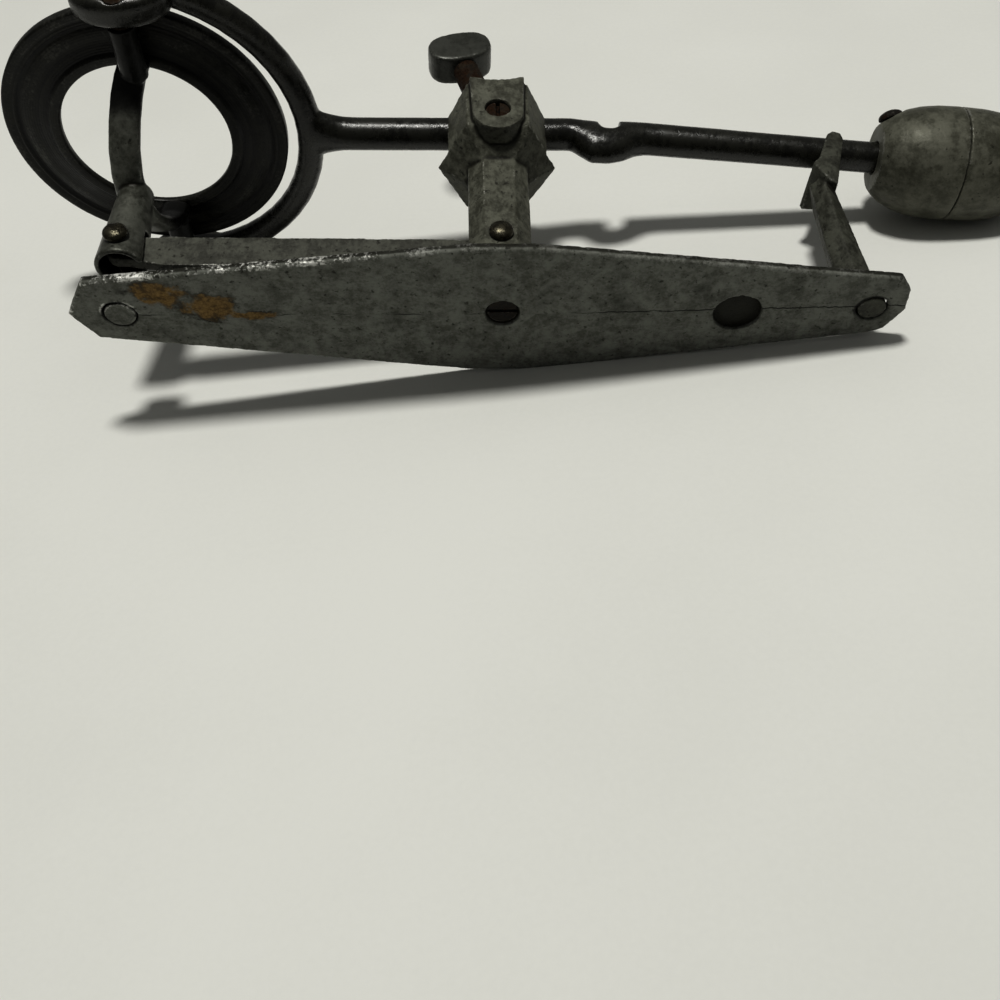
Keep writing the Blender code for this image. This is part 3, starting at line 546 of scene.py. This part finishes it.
def mark_edges(mesh: bpy.types.Mesh, reach: float) -> np.ndarray:
    """Write the wear and cavity attributes from the shape's own curvature.

    Args:
        mesh: the finished mesh.
        reach: depth, in metres, of an edge that counts as fully worn.

    Returns:
        The wear value of each vertex.
    """
    count = len(mesh.vertices)
    places = np.zeros(count * 3)
    mesh.vertices.foreach_get("co", places)
    places = places.reshape(-1, 3)
    normals = np.array([item.vector for item in mesh.vertex_normals])
    edges = np.zeros(len(mesh.edges) * 2, dtype=np.int64)
    mesh.edges.foreach_get("vertices", edges)
    edges = edges.reshape(-1, 2)
    counts = np.maximum(np.bincount(edges.ravel(), minlength=count), 1)
    smooth = places.copy()
    for _ in range(8):
        smooth = neighbour_mean(smooth, edges, counts)
    lift = np.einsum("ij,ij->i", places - smooth, normals) / reach
    wear = np.clip(lift, 0.0, 1.0)
    cavity = np.clip(-lift, 0.0, 1.0)
    for name, values in (("wear", wear), ("cavity", cavity)):
        layer = mesh.attributes.new(name, "FLOAT", "POINT")
        layer.data.foreach_set("value", values.astype(np.float32))
    return wear


def evaluated(piece: bpy.types.Object) -> bpy.types.Mesh:
    """Return a new mesh of a piece with its modifiers applied."""
    graph = bpy.context.evaluated_depsgraph_get()
    return bpy.data.meshes.new_from_object(piece.evaluated_get(graph))


def add_piece(name: str, bm: bmesh.types.BMesh) -> bpy.types.Object:
    """Turn a bmesh into an object at the origin.

    Args:
        name: the piece's name.
        bm: the shape, which is freed.

    Returns:
        The new object.
    """
    mesh = bpy.data.meshes.new(name)
    bm.to_mesh(mesh)
    bm.free()
    mesh.shade_smooth()
    piece = bpy.data.objects.new(name, mesh)
    bpy.context.scene.collection.objects.link(piece)
    return piece


def uneven(bm: bmesh.types.BMesh, casting: Casting, wear: np.ndarray) -> None:
    """Sink the skin a little by noise, and nibble the worn edges.

    Args:
        bm: the mesh to change.
        casting: the depths to use.
        wear: the wear value of each vertex.
    """
    bm.normal_update()
    moves = []
    for vertex in bm.verts:
        broad = 0.5 + 0.5 * noise.noise(vertex.co / casting.pitch)
        fine = 0.5 + 0.5 * noise.noise(vertex.co / (0.3 * casting.pitch))
        depth = casting.unevenness * (0.65 * broad + 0.35 * fine)
        if casting.chips > 0.0:
            nibble = max(0.0, noise.noise(vertex.co / (1.1 * MM)) + 0.15)
            nibble += max(0.0, noise.noise(vertex.co / (3.7 * MM)))
            depth += casting.chips * float(wear[vertex.index]) * nibble
        moves.append(vertex.normal * -depth)
    for vertex, move in zip(bm.verts, moves):
        vertex.co += move


def recast(node: str, name: str, casting: Casting) -> bpy.types.Object:
    """Make a detailed cast piece from a frame solid.

    Args:
        node: the frame node that it stands for.
        name: the new piece's name.
        casting: voxel size and roughness of the casting.

    Returns:
        The piece, which replaces the node.
    """
    bm = bmesh.new()
    bm.from_mesh(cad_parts[node].data)
    bmesh.ops.remove_doubles(bm, verts=bm.verts[:], dist=0.001 * MM)
    piece = add_piece(name, bm)
    remesh = piece.modifiers.new("recast", "REMESH")
    remesh.mode = "VOXEL"
    remesh.voxel_size = casting.voxel
    remesh.adaptivity = 0.0
    mesh = evaluated(piece)
    piece.modifiers.clear()
    bm = bmesh.new()
    bm.from_mesh(mesh)
    for _ in range(casting.smoothing):
        bmesh.ops.smooth_vert(
            bm, verts=bm.verts[:], factor=0.5, use_axis_x=True, use_axis_y=True, use_axis_z=True
        )
    bm.to_mesh(mesh)
    wear = mark_edges(mesh, 0.34 * casting.voxel)
    uneven(bm, casting, wear)
    bm.to_mesh(mesh)
    bm.free()
    for layer in ("wear", "cavity"):
        if layer in mesh.attributes:
            mesh.attributes.remove(mesh.attributes[layer])
    mark_edges(mesh, 0.34 * casting.voxel)
    mesh.shade_smooth()
    piece.data = mesh
    mesh.name = name
    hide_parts(node)
    return piece


# ------------------------------------------------------------------ finishes of this balance
class Patina(Enum):
    """The finishes of the balance."""

    BASE = "base_underside"
    ZINC = "grey_zinc"
    FORK = "darker_fork"
    BLACKED = "blacked_steel"
    LINK = "pale_zinc"
    BEAM = "dark_beam"
    PAN = "black_pan"
    BOW = "rubbed_bow"
    WEIGHT = "grey_barrel"
    KNOB = "smooth_knob"
    RUSTY = "rusted_steel"
    PIN = "tarnished_pin"


@dataclass
class Foundry:
    """Makes each material once and dresses pieces with it."""

    groups: SurfaceGroups = field(default_factory=SurfaceGroups)
    made: dict[Patina, bpy.types.Material] = field(default_factory=dict)

    def finish(self, patina: Patina) -> MetalFinish:
        """Return the values of one finish."""
        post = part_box("centre_post")
        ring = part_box("pan_ring")
        post_x = 0.5 * (post[0].x + post[1].x)
        ring_x = 0.5 * (ring[0].x + ring[1].x)
        olive = (0.0100, 0.0095, 0.0060)
        finishes = {
            Patina.BASE: BasePlateFinish(
                "base_underside",
                grime_and_shade=olive,
                plain=(0.068, 0.070, 0.057),
                pale=(0.180, 0.186, 0.164),
                bare=(0.66, 0.66, 0.62),
                rust=0.10, wear=1.1, pit_share=0.13, bump=0.5, middle_x=post_x, metallic=0.05,
                specular=0.10,
            ),
            Patina.ZINC: MetalFinish(
                "grey_zinc",
                grime_and_shade=olive,
                plain=(0.038, 0.038, 0.027),
                pale=(0.135, 0.137, 0.108),
                bare=(0.34, 0.34, 0.30),
                rust=0.10, wear=0.8, pit_share=0.13, blotch_scale=190.0, bump=0.4,
            ),
            # the grey zinc again, only darker, for the forked post
            Patina.FORK: MetalFinish(
                "darker_fork",
                grime_and_shade=olive,
                plain=(0.022, 0.022, 0.016),
                pale=(0.078, 0.080, 0.063),
                bare=(0.30, 0.30, 0.27),
                rust=0.10, wear=0.6, pit_share=0.13, blotch_scale=190.0, bump=0.4,
            ),
            Patina.BLACKED: MetalFinish(
                "blacked_steel",
                grime_and_shade=(0.002, 0.002, 0.0015),
                plain=(0.006, 0.005, 0.004),
                pale=(0.022, 0.018, 0.013),
                bare=(0.16, 0.15, 0.13),
                rough_low=0.45, rough_high=0.70, rust=0.22, wear=0.7, bump=0.5, blotch_scale=500.0,
                specular=0.12,
            ),
            Patina.LINK: MetalFinish(
                "pale_zinc",
                grime_and_shade=olive,
                plain=(0.034, 0.034, 0.027),
                pale=(0.100, 0.102, 0.084),
                bare=(0.36, 0.36, 0.33),
                pit_share=0.15, wear=0.9, blotch_scale=230.0, bump=0.4,
            ),
            Patina.BEAM: MetalFinish(
                "dark_beam",
                grime_and_shade=(0.0020, 0.0020, 0.0015),
                plain=(0.005, 0.005, 0.0035),
                pale=(0.017, 0.017, 0.012),
                bare=(0.12, 0.12, 0.10),
                metallic=0.15, rough_low=0.20, rough_high=0.33, wear=0.30, specular=0.50,
                blotch_scale=170.0,
            ),
            Patina.PAN: TurnedFinish(
                "black_pan",
                grime_and_shade=(0.0010, 0.0010, 0.0008),
                plain=(0.0030, 0.0030, 0.0022),
                pale=(0.016, 0.016, 0.012),
                bare=(0.09, 0.09, 0.08),
                metallic=0.20, rough_low=0.30, rough_high=0.46, wear=0.5, rust=0.04,
                centre=(ring_x, 0.0), specular=0.22,
            ),
            Patina.BOW: BowFinish(
                "rubbed_bow",
                grime_and_shade=olive,
                plain=(0.040, 0.041, 0.032),
                pale=(0.120, 0.123, 0.104),
                bare=(0.40, 0.40, 0.37),
                metallic=0.35, rough_low=0.28, rough_high=0.48, wear=0.7,
                dark_above=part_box("pan_bow")[1].z - 11.0 * MM,
                stem_x=ring_x + 0.4 * MM, hollow_top=22.0 * MM, specular=0.22,
            ),
            Patina.WEIGHT: MetalFinish(
                "grey_barrel",
                grime_and_shade=olive,
                plain=(0.050, 0.050, 0.036),
                pale=(0.130, 0.130, 0.102),
                bare=(0.30, 0.30, 0.27),
                metallic=0.25, rough_low=0.38, rough_high=0.56, pit_share=0.09, blotch_scale=150.0,
                bump=0.2, wear=0.7,
            ),
            Patina.KNOB: MetalFinish(
                "smooth_knob",
                grime_and_shade=(0.004, 0.004, 0.003),
                plain=(0.034, 0.035, 0.029),
                pale=(0.056, 0.058, 0.049),
                bare=(0.26, 0.26, 0.24),
                metallic=0.25, rough_low=0.26, rough_high=0.38, pit_share=0.03, bump=0.10, wear=0.7,
                specular=0.30,
            ),
            Patina.RUSTY: MetalFinish(
                "rusted_steel",
                grime_and_shade=(0.003, 0.002, 0.0015),
                plain=(0.012, 0.009, 0.006),
                pale=(0.034, 0.024, 0.015),
                bare=(0.20, 0.17, 0.14),
                rough_low=0.50, rough_high=0.76, rust=0.42, wear=0.5, bump=0.5, blotch_scale=500.0,
                specular=0.08,
            ),
            Patina.PIN: MetalFinish(
                "tarnished_pin",
                grime_and_shade=(0.004, 0.003, 0.002),
                plain=(0.026, 0.023, 0.014),
                pale=(0.066, 0.060, 0.040),
                bare=(0.40, 0.38, 0.32),
                metallic=0.75, rough_low=0.18, rough_high=0.32, rust=0.16, wear=0.6,
                blotch_scale=500.0, specular=0.4,
            ),
        }
        return finishes[patina]

    def dress(self, piece: bpy.types.Object, patina: Patina, body: str) -> None:
        """Give a piece its material and body.

        Args:
            piece: the piece.
            patina: its finish.
            body: the frame body that it moves with.
        """
        if patina not in self.made:
            self.made[patina] = self.finish(patina).material(self.groups)
        piece.data.materials.clear()
        piece.data.materials.append(self.made[patina])
        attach(piece, body)
        LOG.info("%s: %d faces, rides on %s", piece.name, len(piece.data.polygons), body)


@dataclass
class CastPart:
    """One frame node, the piece that stands for it, and its finish."""

    node: str
    name: str
    casting: Casting
    patina: Patina
    slot: str


@dataclass
class SubAssembly:
    """Pieces that move together."""

    body: str
    parts: list[CastPart]

    def build(self, foundry: Foundry) -> None:
        """Recast and dress every part.

        Args:
            foundry: makes the materials.
        """
        for part in self.parts:
            piece = recast(part.node, part.name, part.casting)
            foundry.dress(piece, part.patina, self.body)


FINE = Casting(0.14 * MM, smoothing=3, unevenness=0.02 * MM, pitch=1.2 * MM)


def chip_ear(piece: bpy.types.Object) -> None:
    """Hollow the top edge of the near ear, and break its corners.

    Args:
        piece: the centre post's casting.
    """
    low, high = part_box("centre_post")
    middle = 0.5 * (low.x + high.x)
    for vertex in piece.data.vertices:
        place = vertex.co
        inside = min(1.0, max(0.0, (low.y + 5.0 * MM - place.y) / (1.0 * MM)))
        height = min(1.0, max(0.0, (place.z - high.z + 4.0 * MM) / (4.0 * MM)))
        across = (place.x - middle) / (6.0 * MM)
        hollow = 1.1 * MM * max(0.0, 1.0 - across * across)
        ragged = 0.35 * MM * max(0.0, noise.noise(place / (0.9 * MM)))
        place.z -= inside * height * (hollow + ragged)


@dataclass
class BaseAssembly(SubAssembly):
    """Base plate, centre post, forked post, stop and their fixings."""

    body: str = "base"
    parts: list[CastPart] = field(
        default_factory=lambda: [
            CastPart(
                "base_plate", "base_plate_casting",
                Casting(0.37 * MM, 1, 0.08 * MM, 7.0 * MM, 0.12 * MM), Patina.BASE, "cast_zinc",
            ),
            CastPart(
                "centre_post", "centre_post_casting",
                Casting(0.24 * MM, 3, 0.06 * MM, 3.0 * MM, 0.16 * MM), Patina.ZINC, "cast_zinc",
            ),
            CastPart(
                "rest_post", "rest_post_casting",
                Casting(0.24 * MM, 6, 0.08 * MM, 3.0 * MM, 0.08 * MM), Patina.FORK, "cast_zinc",
            ),
            CastPart(
                "stop_peg", "stop_peg_casting",
                Casting(0.20 * MM, 3, 0.03 * MM, 2.0 * MM), Patina.BASE, "cast_zinc",
            ),
            CastPart("foot_screw", "foot_screw_steel", FINE, Patina.BLACKED, "rusty_steel"),
            CastPart("pivot_screw_near", "pivot_screw_near_steel", FINE, Patina.RUSTY, "rusty_steel"),
            CastPart("pivot_screw_far", "pivot_screw_far_steel", FINE, Patina.RUSTY, "rusty_steel"),
            CastPart("link_pin", "link_pin_steel", FINE, Patina.PIN, "pin_steel"),
        ]
    )

    def build(self, foundry: Foundry) -> None:
        """Build the cast parts and chip the near ear."""
        super().build(foundry)
        chip_ear(bpy.data.objects["centre_post_casting"])


@dataclass
class BeamAssembly(SubAssembly):
    """Beam with its yoke, the pan screws and the knob's stud."""

    body: str = "beam"
    parts: list[CastPart] = field(
        default_factory=lambda: [
            CastPart(
                "beam", "beam_casting",
                Casting(0.34 * MM, 10, 0.07 * MM, 5.0 * MM), Patina.BEAM, "beam_metal",
            ),
            CastPart("pan_screw_near", "pan_screw_near_steel", FINE, Patina.RUSTY, "rusty_steel"),
            CastPart("pan_screw_far", "pan_screw_far_steel", FINE, Patina.RUSTY, "rusty_steel"),
            CastPart(
                "knob_stud", "knob_stud_steel",
                Casting(0.18 * MM, 2, 0.08 * MM, 0.8 * MM), Patina.RUSTY, "rusty_steel",
            ),
        ]
    )


@dataclass
class PanAssembly(SubAssembly):
    """Turned ring, its bow and the stem pin."""

    body: str = "pan"
    hole_radius: float = 18.4 * MM
    turns: int = 240
    parts: list[CastPart] = field(
        default_factory=lambda: [
            CastPart(
                "pan_bow", "pan_bow_casting",
                Casting(0.26 * MM, 4, 0.07 * MM, 4.0 * MM), Patina.BOW, "pan_metal",
            ),
            CastPart("stem_pin", "stem_pin_steel", FINE, Patina.PIN, "pin_steel"),
        ]
    )

    def ring(self) -> bpy.types.Object:
        """Turn the ring from its section.

        Returns:
            The ring, with its grooves and lips.
        """
        low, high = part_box("pan_ring")
        centre_x = 0.5 * (low.x + high.x)
        rim = 0.5 * (high.x - low.x)
        tall = high.z - low.z
        hole = self.hole_radius
        under = [
            (hole, 0.55), (hole + 0.15 * MM, 0.22), (hole + 0.5 * MM, 0.05), (hole + 1.9 * MM, 0.0),
            (hole + 2.3 * MM, 0.12), (hole + 2.6 * MM, 0.55), (hole + 3.0 * MM, 0.78),
            (hole + 4.4 * MM, 0.86),
            (hole + 4.6 * MM, 0.98), (rim - 6.3 * MM, 1.0), (rim - 4.3 * MM, 1.30), (rim - 3.9 * MM, 1.62),
            (rim - 3.5 * MM, 1.72), (rim - 3.1 * MM, 1.60), (rim - 2.85 * MM, 1.30), (rim - 2.55 * MM, 1.22),
            (rim - 2.3 * MM, 1.38), (rim - 2.05 * MM, 1.40), (rim - 1.8 * MM, 1.22), (rim - 0.55 * MM, 1.20),
            (rim - 0.18 * MM, 1.32), (rim, 1.62),
        ]
        over = [
            (rim, 3.45), (rim - 0.12 * MM, 3.75), (rim - 0.4 * MM, 3.9), (rim - 1.15 * MM, 3.9),
            (rim - 1.5 * MM, 3.72), (rim - 1.9 * MM, 3.2), (rim - 2.3 * MM, 3.0), (rim - 4.2 * MM, 2.85),
            (rim - 6.3 * MM, 2.7), (hole + 2.6 * MM, 2.3), (hole + 1.3 * MM, 2.02), (hole + 0.5 * MM, 1.9),
            (hole + 0.12 * MM, 1.72), (hole, 1.4),
        ]
        bm = bmesh.new()
        section = []
        for radius, height in under + over:
            section.append(bm.verts.new((centre_x + radius, 0.0, low.z + height * MM * tall / (3.9 * MM))))
        for index, vertex in enumerate(section):
            bm.edges.new((vertex, section[(index + 1) % len(section)]))
        bmesh.ops.spin(
            bm, geom=bm.verts[:] + bm.edges[:], cent=(centre_x, 0.0, 0.0), axis=(0.0, 0.0, 1.0),
            angle=math.tau, steps=self.turns, use_merge=True, use_duplicate=False,
        )
        bmesh.ops.remove_doubles(bm, verts=bm.verts[:], dist=0.001 * MM)
        bmesh.ops.recalc_face_normals(bm, faces=bm.faces[:])
        shelf = Casting(0.4 * MM, 0, 0.05 * MM, 3.0 * MM)
        uneven(bm, shelf, np.zeros(len(bm.verts)))
        piece = add_piece("pan_ring_turned", bm)
        mark_edges(piece.data, 0.12 * MM)
        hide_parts("pan_ring")
        return piece

    def build(self, foundry: Foundry) -> None:
        """Build the ring and the cast parts."""
        foundry.dress(self.ring(), Patina.PAN, self.body)
        super().build(foundry)


@dataclass
class LinkAssembly(SubAssembly):
    """Check link between the post and the stem."""

    body: str = "check_link"
    parts: list[CastPart] = field(
        default_factory=lambda: [
            CastPart(
                "check_link", "check_link_casting",
                Casting(0.24 * MM, 3, 0.09 * MM, 2.4 * MM, 0.10 * MM), Patina.LINK, "cast_zinc",
            )
        ]
    )


@dataclass
class WeightAssembly(SubAssembly):
    """Two halves of the barrel weight, with their seam nearly closed."""

    body: str = "weight"
    parts: list[CastPart] = field(
        default_factory=lambda: [
            CastPart(
                node, node + "_casting",
                Casting(0.26 * MM, 4, 0.10 * MM, 5.0 * MM), Patina.WEIGHT, "weight_metal",
            )
            for node in ("weight_inner", "weight_outer")
        ]
    )

    def build(self, foundry: Foundry) -> None:
        """Build both halves and draw them together at the seam."""
        super().build(foundry)
        for part, sign in zip(self.parts, (1.0, -1.0)):
            low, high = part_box(part.node)
            far_end = low.x if sign > 0.0 else high.x
            for vertex in bpy.data.objects[part.name].data.vertices:
                share = abs(vertex.co.x - far_end) / (high.x - low.x)
                vertex.co.x += sign * share * 0.10 * MM


def small_parts() -> list[SubAssembly]:
    """Return the two pieces that turn by themselves."""
    screw = CastPart("weight_set_screw", "set_screw_steel", FINE, Patina.BLACKED, "rusty_steel")
    smooth = Casting(0.20 * MM, 4, 0.05 * MM, 3.0 * MM, 0.12 * MM)
    knob = CastPart("thumb_knob", "thumb_knob_casting", smooth, Patina.KNOB, "knob_metal")
    return [SubAssembly("set_screw", [screw]), SubAssembly("knob", [knob])]


# ------------------------------------------------------------------ the table, the light and the camera
@dataclass
class Studio:
    """White paper under the fallen balance, a high soft light and the camera."""

    paper_size: float = 1.6
    key_distance: float = 1.2
    key_size: float = 0.20
    key_power: float = 11.5

    def contact_plane(self) -> tuple[Vector, Vector]:
        """Return a point on the paper and its upward normal.

        The balance lies on the edge of its base, its weight and its yoke.
        """
        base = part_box("base_plate")
        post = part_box("centre_post")
        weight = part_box("weight_inner")
        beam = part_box("beam")
        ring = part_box("pan_ring")
        on_base = Vector((0.5 * (post[0].x + post[1].x), base[1].y, base[0].z))
        on_weight = Vector((weight[1].x, weight[1].y, 0.5 * (weight[0].z + weight[1].z)))
        on_yoke = Vector((0.5 * (ring[0].x + ring[1].x), beam[1].y, beam[1].z - 3.0 * MM))
        normal = (on_weight - on_base).cross(on_yoke - on_base).normalized()
        if normal.y > 0.0:
            normal.negate()
        return on_base, normal

    def paper(self) -> None:
        """Lay the paper, which shows from its upper side only."""
        point, normal = self.contact_plane()
        bm = bmesh.new()
        bmesh.ops.create_grid(bm, x_segments=1, y_segments=1, size=0.5 * self.paper_size)
        turn = normal.to_track_quat("Z", "Y").to_matrix()
        bmesh.ops.rotate(bm, verts=bm.verts[:], cent=(0.0, 0.0, 0.0), matrix=turn)
        bmesh.ops.translate(bm, verts=bm.verts[:], vec=point - normal * 0.25 * MM)
        sheet = add_piece("paper_sheet", bm)
        material = bpy.data.materials.new("white_paper")
        material.use_nodes = True
        bench = NodeBench(material.node_tree)
        shader = material.node_tree.nodes["Principled BSDF"]
        output = material.node_tree.nodes["Material Output"]
        place = bench.add("ShaderNodeTexCoord").outputs["Object"]
        fleck = bench.clouds(place, 900.0, 5.0, 0.6)
        broad = bench.clouds(place, 14.0, 3.0, 0.5)
        tone = bench.spread(bench.plus(bench.times(fleck, 0.4), broad), 0.4, 1.0)
        white = bench.blend(tone, (0.730, 0.735, 0.700), (0.770, 0.775, 0.740))
        bench.put(shader.inputs["Base Color"], white)
        shader.inputs["Roughness"].default_value = 0.85
        shader.inputs["Specular IOR Level"].default_value = 0.2
        clear = bench.add("ShaderNodeBsdfTransparent")
        mix = bench.add("ShaderNodeMixShader")
        behind = bench.add("ShaderNodeNewGeometry").outputs["Backfacing"]
        shadow = bench.add("ShaderNodeLightPath").outputs["Is Shadow Ray"]
        bench.put(mix.inputs[0], bench.maths("MAXIMUM", behind, shadow))
        bench.put(mix.inputs[1], shader.outputs[0])
        bench.put(mix.inputs[2], clear.outputs[0])
        bench.put(output.inputs["Surface"], mix.outputs[0])
        sheet.data.materials.append(material)

    def area(self, name: str, place: Vector, target: Vector, size: float, power: float, tint: Tint) -> None:
        """Add one soft round light that faces a point.

        Args:
            name: the light's name.
            place: where it hangs.
            target: what it faces.
            size: its diameter, in metres.
            power: its power, in watts.
            tint: its colour.
        """
        light = bpy.data.lights.new(name, "AREA")
        light.shape = "DISK"
        light.size = size
        light.energy = power
        light.color = tint
        lamp = bpy.data.objects.new(name, light)
        lamp.location = place
        lamp.rotation_euler = (place - target).to_track_quat("Z", "Y").to_euler()
        bpy.context.scene.collection.objects.link(lamp)

    def lights(self) -> None:
        """Hang the key light straight above, a weak one under the paper, and light the room dimly."""
        point, up = self.contact_plane()
        view = self.camera_matrix() @ Vector((0.0, 0.0, -1.0))
        away = (view - view.dot(up) * up).normalized()
        side = away.cross(up)
        centre = Vector((0.0, 0.0, 30.0 * MM))
        key = (up + away * 0.01 - side * 0.02).normalized()
        place = centre + key * self.key_distance
        self.area("key", place, centre, self.key_size, self.key_power, (1.0, 0.99, 0.95))
        back = (-up * 0.8 - away * 0.3 + side * 0.5).normalized()
        self.area("under", centre + back * 1.3, centre, 0.9, 0.5, (0.95, 0.97, 1.0))
        world = bpy.data.worlds.new("room")
        bpy.context.scene.world = world
        world.use_nodes = True
        bench = NodeBench(world.node_tree)
        ground = world.node_tree.nodes["Background"]
        direction = bench.add("ShaderNodeTexCoord").outputs["Generated"]
        rise = bench.add("ShaderNodeVectorMath", operation="DOT_PRODUCT")
        bench.put(rise.inputs[0], direction)
        rise.inputs[1].default_value = (up + 0.5 * away).normalized()
        height = bench.spread(rise.outputs["Value"], -0.5, 1.0)
        room = bench.blend(height, (0.020, 0.020, 0.020), (0.21, 0.21, 0.20))
        bench.put(ground.inputs["Color"], room)
        ground.inputs["Strength"].default_value = 1.0

    def camera_matrix(self) -> object:
        """Return the camera's turn."""
        return Euler((math.radians(122.723), math.radians(1.535), math.radians(-1.472))).to_matrix()

    def camera(self) -> None:
        """Set the camera low beside the base, looking at its underside."""
        lens = bpy.data.cameras.new("camera")
        lens.sensor_width = 36.0
        lens.lens = 39.39
        lens.clip_start = 0.01
        eye = bpy.data.objects.new("camera", lens)
        eye.location = (-15.52 * MM, -163.81 * MM, -149.51 * MM)
        eye.rotation_euler = self.camera_matrix().to_euler()
        bpy.context.scene.collection.objects.link(eye)
        bpy.context.scene.camera = eye

    def build(self) -> None:
        """Set the camera, the paper and the lights."""
        self.camera()
        self.paper()
        self.lights()
        bpy.context.scene.view_settings.view_transform = "Standard"
        bpy.context.scene.view_settings.gamma = VIEW_GAMMA


def main() -> None:
    """Build the studio and every sub-assembly in order."""
    logging.basicConfig(level=logging.INFO, format="%(name)s %(message)s")
    Studio().build()
    foundry = Foundry()
    assemblies = [BaseAssembly(), BeamAssembly(), PanAssembly(), LinkAssembly(), WeightAssembly()]
    for assembly in assemblies + small_parts():
        assembly.build(foundry)


if __name__ == "__main__":
    main()
